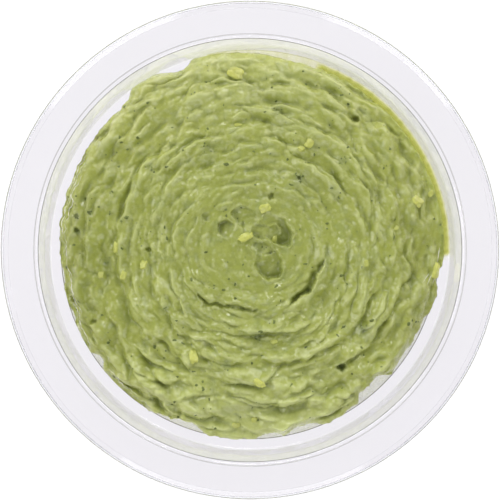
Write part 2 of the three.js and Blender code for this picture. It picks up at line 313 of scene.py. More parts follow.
def clear_sheet(name, tint, smooth, scuffed):
    """A clear plastic with a tint, and with two roughnesses in patches."""
    plastic, tree = new_material(name)
    place = add(tree, "ShaderNodeTexCoord")
    scuffs = add(tree, "ShaderNodeTexNoise", {"Vector": place.outputs["Object"]},
                 Scale=1 / (SCUFF_LENGTH_MM * MM), Detail=3.0, Distortion=2.0)
    rough = add(tree, "ShaderNodeMapRange", {"Value": scuffs.outputs["Fac"]}, From_Min=0.68, From_Max=0.74,
                To_Min=smooth, To_Max=scuffed)
    shell = add(tree, "ShaderNodeBsdfPrincipled", {"Roughness": rough.outputs[0]}, Base_Color=colour(tint),
                IOR=1.57, Transmission_Weight=1.0)
    clear = add(tree, "ShaderNodeBsdfTransparent", Color=colour(tint))
    in_shadow = add(tree, "ShaderNodeLightPath").outputs["Is Shadow Ray"]
    both = add(tree, "ShaderNodeMixShader", {0: in_shadow, 1: shell.outputs[0], 2: clear.outputs[0]})
    add(tree, "ShaderNodeOutputMaterial", {"Surface": both.outputs[0]})
    return plastic


# %% [markdown]
# One sheet has five finishes. The thin wall is the clearest. The flange and the ledge look a little greyer.
# The tight corner of the mould left a haze on the bevel at the mouth, and its grey tint is a painted shade:
# the thin grey line that the bent edge draws. The rolled lip is less smooth, which spreads the reflections on
# it into soft bands. Its edge was punched out of the sheet, so it is rough and looks white.

# %% The five finishes
THIN_WALL, BEVEL, FLANGE, PUNCHED, LIP = range(5)
# name, tint, roughness where smooth, roughness where scuffed
finishes = [
    clear_sheet("clear_pet_drawn_thin", "F3F1F7", 0.02, 0.16),
    # the grey tint of the bevel is painted shade for the grey line there
    clear_sheet("clear_pet_hazed_bevel_painted_shade", "C8C6C8", 0.10, 0.25),
    clear_sheet("clear_pet_full_thickness", "ECEAEF", 0.02, 0.16),
    clear_sheet("clear_pet_punched_edge", "F0F0F6", 0.35, 0.50),
    clear_sheet("clear_pet_rolled_lip", "ECEAEF", 0.10, 0.14),
]

# %% The tub
SIDES_OF_TUB = 400
# how far each finish reaches along the sheet, in mm
BEVEL_REACH, BEVEL_DEPTH = 0.3, 0.6
LEDGE_DEPTH = 0.3
PUNCHED_HEIGHT = 0.31


def finish_at(point):
    """Which of the finishes the sheet has at a point of its line."""
    from_bevel = point.x - MOUTH_RADIUS - CHAMFER
    if abs(from_bevel) < BEVEL_REACH and point.y > TUB_HEIGHT - BEVEL_DEPTH:
        return BEVEL
    if from_bevel < -CHAMFER:
        on_ledge = point.x > SHOULDER_INNER and point.y < SHOULDER_Z + LEDGE_DEPTH
        return FLANGE if on_ledge else THIN_WALL
    if point.x < FLANGE_FLAT:
        return FLANGE
    return PUNCHED if point.y < TUB_HEIGHT - LIP_DROP + PUNCHED_HEIGHT else LIP


sheet_loop = outer_line + inner_line[::-1]
tub = mesh_piece("clear_tub", *turned(sheet_loop, SIDES_OF_TUB), finishes[0])
for finish in finishes[1:]:
    tub.data.materials.append(finish)
for k, (start, end) in enumerate(zip(sheet_loop, sheet_loop[1:])):
    for face in tub.data.polygons[k * SIDES_OF_TUB:(k + 1) * SIDES_OF_TUB]:
        face.material_index = finish_at((start + end) / 2)
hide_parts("tub")

# %% [markdown]
# ## The dip's shape
# Mashed avocado is thick: it keeps every mark of the nozzle. Its surface could be sculpted by hand or cast
# with a noise modifier. Here it is a height for each point in millimetres, put together from named parts,
# because the marks follow a swirl, and a formula can follow it too. The tools come first. The draw scrambles
# whole numbers, so it looks random but is the same on every run. The bumps blend slopes that are drawn at
# the corners of a grid, which is how Blender's noise is made too. The last tool is a soft ramp.

# %% Draws and bumps
def draw(*keys):
    """A repeatable draw from 0 to 1 for each set of whole numbers."""
    h = np.zeros(np.broadcast(*keys).shape, np.uint32) + np.uint32(2166136261)
    for key in keys:
        h = (h ^ np.asarray(key).astype(np.int64).astype(np.uint32)) * np.uint32(16777619)
        h ^= h >> np.uint32(15)
        h *= np.uint32(2246822519)
        h ^= h >> np.uint32(13)
    return h / 4294967296.0


def bumps(x, y, size, seed):
    """Soft bumps and hollows about one size apart, from -1 to 1."""
    x, y = np.broadcast_arrays(np.asarray(x) / size, np.asarray(y) / size)
    i, j = np.floor(x), np.floor(y)
    u, v = x - i, y - j
    su, sv = u * u * u * (u * (u * 6 - 15) + 10), v * v * v * (v * (v * 6 - 15) + 10)

    def corner(di, dj):
        a = 2 * pi * draw(i + di, j + dj, seed)
        return np.cos(a) * (u - di) + np.sin(a) * (v - dj)

    low = corner(0, 0) * (1 - su) + corner(1, 0) * su
    high = corner(0, 1) * (1 - su) + corner(1, 1) * su
    return 1.5 * (low * (1 - sv) + high * sv)


def ease(start, end, x):
    """0 before the start, 1 after the end, and a soft ramp between."""
    t = np.clip((x - start) / (end - start), 0, 1)
    return t * t * (3 - 2 * t)


# %% [markdown]
# The swirl turns round a point just beside the tub's axis. Distance and heading are taken from there. The
# same bumps can also be smeared along it, as paste is: each point adds up the bumps at six places along its
# ring.

# %% The swirl
SWIRL_X, SWIRL_Y = 1.1, 0.4


def swirl_polar(x, y):
    """Distance from the swirl's middle and heading round it, in radians."""
    return np.hypot(x - SWIRL_X, y - SWIRL_Y), np.arctan2(y - SWIRL_Y, x - SWIRL_X)


def smeared(x, y, size, seed, length, outwards=0):
    """The same bumps, drawn out along the swirl by a length. A part of it may lead outwards."""
    away, heading = swirl_polar(x, y)
    total = 0
    for share in (-0.5, -0.3, -0.1, 0.1, 0.3, 0.5):
        turned_to = heading + share * length / np.maximum(away, 2)
        out = away + outwards * share * length
        at_x, at_y = SWIRL_X + out * np.cos(turned_to), SWIRL_Y + out * np.sin(turned_to)
        total = total + bumps(at_x, at_y, size, seed)
    return 0.33 * total


# %% [markdown]
# Seen from above, the dip fills the tub to its upper wall on one side and stays back at the shoulder on the
# other. Between, its edge has small notches where the paste pulled away from the wall.

# %% The dip's edge
# where the outline changes: heading in degrees, radius there
EDGE_REACH = [
    (-2, 46.7), (68, 46.7), (71, 46.5), (80, 46.7), (88, 47.5), (104, 48.2), (126, 48.2), (129, 46.3),
    (176, 46.1), (184, 45.6), (338, 45.6), (344, 46.2), (355, 46.2), (358, 46.7),
]
# heading, half width in degrees and depth of each notch
EDGE_NOTCHES = [
    (112, 6, 1.8), (188, 4, 0.4), (200, 3, 0.5), (216, 3.5, 1.4), (243, 4, 1.0), (250, 8, 1.7),
    (276, 5, 1.2), (287, 7, 1.4), (303, 4, 0.6), (309, 5, 2.2), (314, 5.5, 2.6), (325, 9, 0.9),
    (335, 6, 0.7), (352, 4, 0.9),
]
EDGE_ARC = 40
print(f"{len(EDGE_NOTCHES)} notches in the edge")


def degrees_from(heading, at):
    """How far a heading in radians lies from one in degrees, in degrees."""
    return np.abs(np.mod(np.degrees(heading) - at + 180, 360) - 180)


def edge_radius(heading):
    """The dip's outline seen from above, for headings in radians round the tub's axis."""
    turn = np.mod(np.degrees(heading) + 2, 360) - 2
    reach = np.interp(turn, [at for at, _ in EDGE_REACH], [r for _, r in EDGE_REACH])
    notch = 0 * reach
    for at, half, depth in EDGE_NOTCHES:
        notch = np.maximum(notch, depth * (1 - ease(0.25, 1, degrees_from(heading, at) / half)))
    x, y = EDGE_ARC * np.cos(heading), EDGE_ARC * np.sin(heading)
    ragged = 0.35 * bumps(x, y, 2.2, 201) + 0.2 * bumps(x, y, 1.0, 202)
    smooth_left = 1 - ease(20, 26, degrees_from(heading, 208))
    smooth_right = 1 - ease(30, 36, degrees_from(heading, 30))
    return reach - notch + ragged * (1 - 0.75 * smooth_left - 0.6 * smooth_right)


# %% [markdown]
# The turning nozzle laid low ropes, close together near the middle and wide near the wall. Each rises
# slowly, falls over its crest and ends in a crease.

# %% The ropes of the swirl
FINE_PITCH, COARSE_PITCH = 2.9, 6.0
DIP_REACH = 47.0


def rope(x, y, pitch, wander, seed):
    """One spiral of ropes, 0 in the creases and 1 on the crests."""
    away, heading = swirl_polar(x, y)
    off = wander * bumps(x, y, 11, seed) + 0.45 * wander * bumps(x, y, 5, seed + 1)
    turns = (away + off) / pitch + heading / (2 * pi)
    t = turns - np.floor(turns)
    crest = 0.72
    rise = np.sin(0.5 * pi * np.minimum(t / crest, 1)) ** 0.8
    fall = np.sqrt(np.clip(1 - (np.maximum(t - crest, 0) / (1 - crest)) ** 2, 0, 1))
    return np.minimum(rise, fall)


def ropes(x, y):
    """Both spirals in mm: the fine one fades towards the wall, and the coarse one takes over."""
    away, _ = swirl_polar(x, y)
    fine = ease(11, 17, away) * (1 - 0.7 * ease(27, 34, away))
    fine = fine * np.clip(0.55 + 0.9 * bumps(x, y, 10, 41), 0.1, 2)
    coarse = ease(22, 32, away) * np.clip(0.5 + 0.8 * bumps(x, y, 9, 42), 0.05, 2)
    coarse = coarse * (1.1 - 0.3 * y / DIP_REACH)
    return 0.7 * fine * rope(x, y, FINE_PITCH, 2.0, 11) + 1.6 * coarse * rope(x, y, COARSE_PITCH, 3.4, 21)


# %% [markdown]
# Over the ropes lie the folds that catch the eye: arcs where the paste slid over itself. Each one is a
# crease with a rounded lip beside it. They are placed one by one, from the middle outwards.

# %% The folds
# start and end heading in degrees, distance of the crease at both, lip height; a minus height faces inwards
INNER_FOLDS = [
    (-13, -55, 15.6, 16.3, -0.9), (-90, -125, 14.8, 15.5, 0.7), (-126, -143, 16.6, 17.6, 0.6),
    (-66, -104, 21.3, 20.6, 1.2), (-104, -150, 21.0, 21.5, 0.5), (-48, -78, 23.7, 21.9, 0.8),
    (-163, -197, 19.2, 19.9, 0.6), (126, 104, 22.8, 22.6, 0.6), (77, 30, 24.0, 25.0, 0.8),
    (6, -24, 22.8, 22.8, 0.6), (152, 128, 25.7, 26.7, 1.0), (-172, -185, 25.2, 25.3, 0.9),
]
MIDDLE_FOLDS = [
    (29, 4, 26.6, 28.2, 0.8), (6, -11, 25.4, 25.6, 0.5), (-152, -163, 26.7, 26.8, 0.8),
    (156, 108, 30.6, 28.8, 0.9), (99, 88, 27.4, 27.7, 0.6), (-53, -87, 30.2, 28.0, 1.2),
    (-90, -116, 27.8, 28.9, 1.2), (-117, -127, 27.4, 27.2, 0.7), (152, 137, 33.9, 34.0, 1.1),
    (-164, -187, 33.4, 33.4, 0.7), (-59, -67, 33.6, 33.8, 0.8), (-81, -104, 33.1, 32.2, 0.8),
    (17, -4, 32.9, 34.2, 0.7), (72, 43, 32.2, 32.7, 0.9),
]
OUTER_FOLDS = [
    (-38, -57, 36.7, 34.6, 1.2), (-68, -82, 35.4, 36.4, 1.3), (87, 68, 35.2, 35.5, 1.0),
    (87, 74, 39.6, 39.8, 1.0), (69, 50, 37.6, 38.9, 1.2), (107, 88, 39.9, 39.7, 1.3),
    (157, 148, 40.4, 40.6, 0.8), (134, 123, 42.0, 42.5, 0.8), (-108, -119, 36.6, 41.8, 1.0),
    (-119, -131, 36.8, 41.2, 1.0), (-7, -21, 43.4, 43.6, 0.9), (-36, -51, 42.6, 42.2, 1.0),
    (-54, -66, 42.4, 43.2, 1.0), (-107, -130, 43.2, 42.8, 0.9),
]
FOLDS = INNER_FOLDS + MIDDLE_FOLDS + OUTER_FOLDS
print(f"{len(FOLDS)} folds")


def folds(x, y):
    """The height of the lips and the depth of the creases."""
    away, heading = swirl_polar(x, y)
    away = away + 0.5 * bumps(x, y, 3.5, 31) + 0.25 * bumps(x, y, 1.6, 32)
    lip, crease = 0 * away, 0 * away
    for start, end, near, far, height in FOLDS:
        t = np.mod(start - np.degrees(heading), 360) / (start - end)
        fade = np.where(t <= 1, np.sin(pi * np.minimum(t, 1)) ** 0.6, 0)
        past = (away - near - (far - near) * np.minimum(t, 1)) * np.sign(height)
        from_crest = past + 1.1
        rounded_lip = np.exp(-((from_crest / np.where(from_crest < 0, 2.0, 0.8)) ** 2))
        cut = np.exp(-np.hypot(past, 0.1) / np.where(past < 0, 0.25, 0.6))
        lip = np.maximum(lip, abs(height) * rounded_lip * fade)
        crease = np.maximum(crease, 0.55 * abs(height) * cut * fade)
    return lip, crease


# %% [markdown]
# Between the folds the paste is uneven at every size. First come long ripples, which were drawn out as the
# nozzle turned. Three sizes are added up, the shorter the lower.

# %% Ripples
def ripples(x, y):
    """Ripples in mm, stronger away from the middle, which was left flat."""
    away, _ = swirl_polar(x, y)
    out = ease(6, 34, away)
    bent_x, bent_y = x + 0.8 * bumps(x, y, 4.0, 101), y + 0.8 * bumps(x, y, 4.0, 102)
    long = smeared(bent_x, bent_y, 3.6, 111, 8) * (0.25 + 0.35 * out)
    middle = smeared(bent_x, bent_y, 2.0, 112, 3.5) * (0.20 + 0.15 * out)
    short = smeared(x, y, 1.1, 113, 1.4) * 0.08
    return long + middle + short


# %% [markdown]
# Towards the wall the paste lies in rounded mounds with narrow creases between them. Smeared bumps without
# their sign give that shape: they come down to a crease wherever they pass zero, and hypot rounds its
# bottom.

# %% Mounds
def mounds(x, y):
    """Rounded mounds in mm with narrow creases between them, drawn out along the swirl."""
    away, _ = swirl_polar(x, y)
    rim_zone = ease(33, 42, away) * np.clip(np.abs(y) / 30, 0, 1)
    bent_x, bent_y = x + 1.2 * bumps(x, y, 5.0, 131), y + 1.2 * bumps(x, y, 5.0, 132)
    large = np.hypot(smeared(bent_x, bent_y, 4.8, 133, 9, 0.25), 0.14)
    large = large * ease(16, 34, away) * (1 + 1.3 * rim_zone)
    small = np.hypot(smeared(bent_x, bent_y, 2.8, 134, 7, -0.3), 0.10) * ease(8, 18, away)
    return large + 0.4 * small * (1 + bumps(x, y, 8, 135))


# %% [markdown]
# Leaf-shaped smears lie over each other all round. They are far too many to set by hand, so seeded draws
# give each its length, width, height and slant, and steps of the golden ratio spread them evenly. They grow
# towards the wall, and are lower in calm patches and at the left and right.

# %% Smears
STROKES = 420
SMEARS_FROM = 11.0
GOLDEN = 0.61803
stroke = np.arange(STROKES)
stroke_away = np.sqrt(SMEARS_FROM**2 + (DIP_REACH**2 - SMEARS_FROM**2) * (stroke + 0.5) / STROKES)
stroke_heading = 2 * pi * ((stroke * GOLDEN + 0.05 * draw(stroke, 151)) % 1)
stroke_out = stroke_away / DIP_REACH
stroke_length = (6 + 16 * draw(stroke, 152) ** 1.5) * (0.55 + 0.55 * stroke_out)
stroke_width = (1.0 + 2.4 * draw(stroke, 153) ** 2) * (0.6 + 0.5 * stroke_out)
stroke_height = (0.30 + 1.10 * draw(stroke, 154)) * (0.20 + 0.90 * stroke_out)
stroke_calm = bumps(stroke_away * np.cos(stroke_heading), stroke_away * np.sin(stroke_heading), 13, 156)
stroke_height = stroke_height * np.clip(0.75 + 0.9 * stroke_calm, 0.15, 1.4)
stroke_height = stroke_height * (0.75 + 0.45 * np.abs(np.sin(stroke_heading)))
stroke_slant = 0.5 * (draw(stroke, 155) - 0.4)
print(f"{STROKES} smears, from {stroke_length.min():.0f} to {stroke_length.max():.0f} mm long")


def strokes(x, y):
    """The height of the smears in mm. Each rises slowly outwards to a steep lip."""
    bent_x = x + 0.5 * bumps(x, y, 3.2, 141) + 0.22 * bumps(x, y, 1.4, 143)
    bent_y = y + 0.5 * bumps(x, y, 3.2, 142) + 0.22 * bumps(x, y, 1.4, 144)
    away, heading = swirl_polar(bent_x, bent_y)
    height = 0 * away
    for k in stroke:
        run = (np.mod(heading - stroke_heading[k] + pi, 2 * pi) - pi) * stroke_away[k]
        leaf = 1 - (2 * run / stroke_length[k]) ** 2
        near = (leaf > 0.02) & (np.abs(away - stroke_away[k]) < 7)
        leaf, run = leaf[near], run[near]
        across = (away[near] - stroke_away[k] - stroke_slant[k] * run) / (stroke_width[k] * np.sqrt(leaf))
        rise, lip = 1 - (across / 1.5) ** 2, np.sqrt(np.clip(1 - (across / 0.6) ** 2, 0, 1))
        smear = stroke_height[k] * leaf**0.7 * np.where(across < 0, np.clip(rise, 0, 1), lip)
        height[near] = np.maximum(height[near], smear)
    return height


# %% [markdown]
# The last of the relief on the swirl are thin creases, where one smear ends on the next.

# %% Thin creases
def thin_creases(x, y):
    """Depth of fine lines that follow the swirl, 0 to 1."""
    bent_x, bent_y = x + 0.6 * bumps(x, y, 3.0, 121), y + 0.6 * bumps(x, y, 3.0, 122)
    across = smeared(bent_x, bent_y, 3.0, 123, 12)
    return np.exp(-np.abs(across) / 0.05) * ease(-0.1, 0.5, bumps(x, y, 5, 124))


# %% [markdown]
# In the middle the nozzle lifted off. It left five shallow dents with thin raised rims between them, and a
# few dimples. Each mark is an oval hollow with a wavy outline, deeper at its head, with a low rim round it.

# %% Nozzle marks
# x, y, length, width, heading, depth, and how much deeper the mark is at its head end
NOZZLE_MARKS = [
    (-5.6, 5.1, 4.6, 4.2, 150, 1.9, 0.95), (6.5, 4.7, 8.8, 6.2, -47, 2.9, 0.95),
    (4.5, -3.2, 8.6, 6.4, -70, 2.4, 0.9), (3.0, 4.3, 5.5, 3.8, 170, 0.9, 0.2),
    (3.1, 0.5, 4.8, 2.8, -20, 1.0, 0.3), (-1.3, 7.9, 6.6, 4.8, 150, 1.1, 0.7),
    (5.0, 12.9, 2.0, 1.4, 60, 0.8, 0.2), (-10.5, 8.0, 2.5, 2.3, 200, 0.8, 0.95),
]


def nozzle_marks(x, y):
    """The hollows of the marks, with the rims that stand round them."""
    depth, rim = 0 * x, 0 * x
    for mark_x, mark_y, length, width, heading, deep, head in NOZZLE_MARKS:
        c, s = cos(radians(heading)), sin(radians(heading))
        u = ((x - mark_x) * c + (y - mark_y) * s) / (length / 2)
        v = ((y - mark_y) * c - (x - mark_x) * s) / (width / 2)
        out = np.hypot(u, v) + 0.16 * bumps(x, y, 2.0, 77)
        hollow = (1 - ease(0.84, 1.02, out)) * (1 - head + head * np.clip(0.45 + 0.6 * u, 0, 1))
        depth = np.maximum(depth, deep * hollow)
        rim = np.maximum(rim, 0.16 * deep * np.exp(-(((out - 1.07) / 0.07) ** 2)) * ease(-0.8, 0.4, u))
    return depth - rim


# %% [markdown]
# A crack with a raised bank lies at the lower right of the dents, and a torn crease at their lower left.
# The short lines between the dents are small furrows and ridges. A ridge counts as a crack with a depth
# below zero. Each follows a few corner points, and soft bumps make it waver.

# %% Cracks
# corner points, depth, and height of the bank to the left of the walk along them, or below zero to the right
CRACKS = [
    ([(10.5, -12.4), (11.9, -11.2), (13.6, -10.3), (14.8, -8.8), (15.9, -6.0), (17.4, -3.4)], 2.0, -1.1),
    ([(-12.0, -10.8), (-10.8, -12.2), (-10.0, -13.0), (-8.0, -12.6), (-6.6, -13.4), (-3.4, -13.2),
      (-2.0, -13.8), (0, -14.6), (1.5, -14.4)], 0.9, 0.5),
    ([(-0.2, 3.8), (1.6, 6.2), (3.4, 8.4)], -0.5, 0.0),
    ([(-0.6, 0.8), (1.6, -2.4)], -0.5, 0.0),
    ([(4.7, 5.8), (6.3, 6.2), (7.3, 5.2), (7.2, 3.8)], -0.7, 0.0),
    ([(-1.6, 6.6), (-1.5, 4.6)], 0.5, 0.0),
    ([(3.4, -1.2), (4.6, -0.8), (6.0, -0.5)], 0.5, 0.0),
]


def cracks(x, y):
    """The depth of the cracks less the height of their banks."""
    off_x, off_y = x + 0.3 * bumps(x, y, 1.7, 81), y + 0.3 * bumps(x, y, 1.7, 82)
    depth = 0 * x
    for points, deep, bank in CRACKS:
        for (ax, ay), (bx, by) in zip(points, points[1:]):
            length = np.hypot(bx - ax, by - ay)
            tx, ty = (bx - ax) / length, (by - ay) / length
            along = np.clip((off_x - ax) * tx + (off_y - ay) * ty, 0, length)
            away = np.hypot(off_x - ax - along * tx, off_y - ay - along * ty)
            left = (off_y - ay) * tx - (off_x - ax) * ty
            open_width = np.where(left * bank > 0, 0.3, 0.3 + 0.4 * abs(bank))
            open_width = open_width * (1 + 0.2 * bumps(x, y, 3.0, 83))
            cut = deep * (1 + 0.25 * bumps(x, y, 3.0, 84)) * np.exp(-((away / open_width) ** 2))
            rise = abs(bank) * np.exp(-away / 1.6) * ease(-0.1, 0.3, left * np.sign(bank)) if bank else 0
            depth = np.where(np.abs(cut - rise) > np.abs(depth), cut - rise, depth)
    return depth


# %% [markdown]
# Small bubbles burst at the surface and left round holes, many of them where herbs lie.

# %% Holes
# x, y, width and depth
HOLES = [
    (11.8, 17.2, 1.3, 0.8), (21.9, -28.0, 2.6, 1.6), (2.4, -20.3, 1.6, 0.9), (25.2, 31.4, 2.2, 1.4),
    (-24.3, 0.1, 1.6, 0.8), (-41.6, 8.1, 1.3, 0.9), (-41.6, 4.7, 1.9, 1.2), (-39.4, 12.2, 1.1, 0.7),
    (-37.4, -17.1, 1.8, 1.0), (14.1, -9.8, 1.3, 0.8),
]
print(f"{len(NOZZLE_MARKS)} nozzle marks, {len(CRACKS)} cracks and ridges, {len(HOLES)} holes")


def holes(x, y):
    """The depth of the holes, which are a little narrower in y than in x and uneven round their rims."""
    depth = 0 * x
    for hole_x, hole_y, width, deep in HOLES:
        out = np.hypot(x - hole_x, (y - hole_y) * 1.15) / (width / 2) + 0.3 * bumps(x, y, 0.9, 85)
        depth = np.maximum(depth, deep * (1 - ease(0.3, 1.0, out)))
    return depth


# %% [markdown]
# Crushed avocado keeps soft lumps of flesh, one to three millimetres long and paler than the paste. Most
# are under a skin of paste, so they are part of the same surface: low rounded bumps, with the paler colour
# kept as a value at each point that the material reads. They are spread in the same way as the smears.

# %% Soft lumps
LUMPS = 420
LUMP_RISE = 0.16
lump = np.arange(LUMPS)
lump_away = DIP_REACH * np.sqrt((lump + 0.5) / LUMPS)
lump_heading = 2 * pi * ((lump * GOLDEN) % 1) + 0.5 * draw(lump, 301)
lump_x, lump_y = lump_away * np.cos(lump_heading), lump_away * np.sin(lump_heading)
lump_length = 0.9 + 1.9 * draw(lump, 302) ** 2.2 * (0.55 + 0.45 * lump_away / DIP_REACH)
lump_width = lump_length * (0.5 + 0.3 * draw(lump, 303))
lump_pale = 0.25 + 0.75 * draw(lump, 304)
print(f"{LUMPS} soft lumps, the longest {lump_length.max():.1f} mm")


def lumps(x, y):
    """The height of the lumps, and how pale the surface is over them."""
    height, pale = 0 * x, 0 * x
    for k in lump:
        near = np.hypot(x - lump_x[k], y - lump_y[k]) < 1.3 * lump_length[k]
        dx, dy = x[near] - lump_x[k], y[near] - lump_y[k]
        turn = np.arctan2(lump_y[k] - SWIRL_Y, lump_x[k] - SWIRL_X) + pi / 2 + 0.9 * (draw(k, 305) - 0.5)
        u = (dx * np.cos(turn) + dy * np.sin(turn)) / (lump_length[k] / 2)
        v = (dy * np.cos(turn) - dx * np.sin(turn)) / (lump_width[k] / 2)
        body = np.clip(1 - np.hypot(u, v) ** 2 / 1.2, 0, 1) ** 1.5
        height[near] = np.maximum(height[near], LUMP_RISE * lump_width[k] * body)
        pale[near] = np.maximum(pale[near], lump_pale[k] * ease(0.0, 0.8, body))
    return height, pale


# %% [markdown]
# A few large chunks of ripe flesh lie in the paste, and will be made as pieces of their own. The paste was
# pushed up round each of them and coats its foot, so here the surface swells at their places.

# %% The swells round the chunks
# x, y, length, width and heading
CHUNKS = [
    (3.6, 10.0, 2.5, 1.9, 20), (-1.2, 3.0, 3.3, 1.9, 25), (5.8, 2.5, 2.1, 1.2, 75),
    (-3.4, 42.4, 3.9, 2.6, -20), (-2.9, 29.9, 1.8, 1.2, 10), (14.2, 25.6, 2.3, 1.7, 60),
    (12.3, 24.2, 1.9, 1.4, 30), (40.1, 11.7, 2.9, 2.1, -40), (44.6, -5.0, 3.2, 2.4, 80),
    (43.6, 13.6, 1.6, 1.3, 60), (35.1, 5.2, 1.2, 0.9, 60), (27.9, -3.2, 1.4, 1.0, 90),
    (-13.7, -25.3, 3.3, 2.2, 95), (2.2, -31.8, 2.7, 1.5, -30), (-3.4, -42.1, 1.9, 1.4, 0),
    (5.8, -22.0, 1.6, 1.1, 0), (1.0, -40.7, 1.5, 1.1, 40), (-32.0, 0.6, 2.3, 1.8, 90),
    (-35.8, -5.9, 1.6, 1.2, 90), (-30.3, -6.1, 2.1, 1.4, 80), (-25.5, -3.5, 2.1, 1.5, 70),
]


def chunk_swells(x, y):
    """The height in mm of the paste that was pushed up round the chunks."""
    height = 0 * x
    for chunk_x, chunk_y, length, width, turn in CHUNKS:
        c, s = cos(radians(turn)), sin(radians(turn))
        u = ((x - chunk_x) * c + (y - chunk_y) * s) / (0.75 * length)
        v = ((y - chunk_y) * c - (x - chunk_x) * s) / (0.75 * width)
        height = height + 0.22 * width * np.exp(-(u * u + v * v) * (1 + 0.5 * bumps(x, y, 1.3, 91)))
    return height


# %% [markdown]
# All of it is summed here. Two things follow: the edge rounds over and falls to the wall, and the paste
# leans outwards where it stands high, so a fold hangs over its crease as real paste does. A height alone
# can't do that. Along the left the paste was pressed smooth against the wall, behind a thin wet crest.

# %% The whole surface
FILL_Z = 26.6
CROWN, CROWN_REACH = 3.3, 48.9
EDGE_ROUND, EDGE_FALL = 2.4, 1.7
LEAN = 0.30
PRESSED_WIDTH = 1.25
WALL_ARC = 45


def dip_surface(x, y):
    """Points of the dip's top in mm, how pale each is, and a mask of the pressed band and the painted edge
    shade.
    """
    away, heading = swirl_polar(x, y)
    from_axis, round_axis = np.hypot(x, y), np.arctan2(y, x)
    lip, crease = folds(x, y)
    low = ropes(x, y)
    body = np.maximum(low, 1.3 * lip) + 0.2 * np.minimum(low, lip)
    flow = ripples(x, y)
    lump_height, pale = lumps(x, y)
    rough_end = ease(30, 42, from_axis) * np.clip(-y / 30, 0, 1)
    broad = (0.8 * bumps(x, y, 17, 5) + (0.6 + 0.5 * rough_end) * bumps(x, y, 9, 6)) * ease(5, 20, away)
    grain = 0.04 * bumps(x, y, 0.8, 71)
    smears = strokes(x, y)
    crown = CROWN * (1 - (from_axis / CROWN_REACH) ** 4)
    fine = flow + mounds(x, y) + smears + grain + lump_height - 0.22 * thin_creases(x, y) * ease(8, 14, away)
    torn = nozzle_marks(x, y) + cracks(x, y) + holes(x, y)
    z = FILL_Z + crown + broad + body + fine + chunk_swells(x, y) - crease - torn

    edge = edge_radius(round_axis)
    over = np.clip((from_axis - (edge - EDGE_ROUND)) / EDGE_ROUND, 0, 1)
    on_wall = 1 - ease(30, 38, degrees_from(round_axis, 30))
    z = z - EDGE_FALL * (1 - 0.7 * on_wall) * (1 - np.sqrt(1 - 0.98 * over * over))

    arc_x, arc_y = WALL_ARC * np.cos(round_axis), WALL_ARC * np.sin(round_axis)
    on_left = 1 - ease(44, 52, degrees_from(round_axis, 194))
    on_left = on_left * ease(-0.35, 0.0, bumps(arc_x, arc_y, 6, 211))
    crest_at = edge - PRESSED_WIDTH * (0.75 + 0.7 * bumps(arc_x, arc_y, 2.6, 212))
    pressed_and_edge_shade = on_left * ease(-0.1, 0.2, from_axis - crest_at)
    smooth_z = FILL_Z + 0.9 - 0.9 * np.maximum(from_axis - crest_at, 0)
    z = z + pressed_and_edge_shade * (smooth_z - z)
    z = z + 0.35 * on_left * np.exp(-(((from_axis - crest_at) / 0.22) ** 2))

    lean = LEAN * (body + flow + smears - 0.6) * ease(8, 20, away) * (1 - ease(0.0, 0.6, over))
    away = np.maximum(away, 1)
    points = np.column_stack([x + lean * (x - SWIRL_X) / away, y + lean * (y - SWIRL_Y) / away, z])
    # along the right edge the same deeper olive is painted shade where the paste meets the wall
    smooth_right = (1 - ease(34, 38, degrees_from(round_axis, 34))) * ease(1.5, 0.5, edge - from_axis)
    return points, pale * (1 - pressed_and_edge_shade), np.maximum(pressed_and_edge_shade, 0.8 * smooth_right)


# %% [markdown]
# ## The dip's mesh
# The grid is rings of 6, 12, 18 and so on points, so all triangles are about as large: 0.3 mm, just over a
# pixel of the picture. A square grid would leave a jagged edge. The rings follow the outline instead, so
# nothing is cut off there.

# %% The grid from above
RINGS = 160
SIDES = 6 * RINGS


def ring_grid(rings):
    """Each point's share of the way out and its heading, and the triangles between the rings."""
    share = np.concatenate([[0.0]] + [np.full(6 * i, i / rings) for i in range(1, rings + 1)])
    heading = np.concatenate([[0.0]] + [np.arange(6 * i) * pi / (3 * i) for i in range(1, rings + 1)])
    triangles = []
    for i in range(rings):
        inner, outer = (3 * i * (i - 1) + 1 if i else 0), 3 * i * (i + 1) + 1
        inner_count, outer_count = max(6 * i, 1), 6 * (i + 1)
        for sector in range(6):
            for k in range(i + 1):
                a = outer + sector * (i + 1) + k
                b = outer + (sector * (i + 1) + k + 1) % outer_count
                c = inner + (sector * i + k) % inner_count
                triangles.append((a, b, c))
                if k < i:
                    triangles.append((c, b, inner + (sector * i + k + 1) % inner_count))
    return share, heading, triangles


share, heading, faces = ring_grid(RINGS)
from_axis = share * edge_radius(heading)
top, pale, pressed_and_edge_shade = dip_surface(from_axis * np.cos(heading), from_axis * np.sin(heading))
print(f"the top has {len(top)} points, from {top[:, 2].min():.1f} to {top[:, 2].max():.1f} mm high")

# %% [markdown]
# Chopped herb lies in the paste in loose groups, and will be made as a piece of its own. Juice comes out of
# the cut leaves, so the paste round each group has a dull grey-green stain.

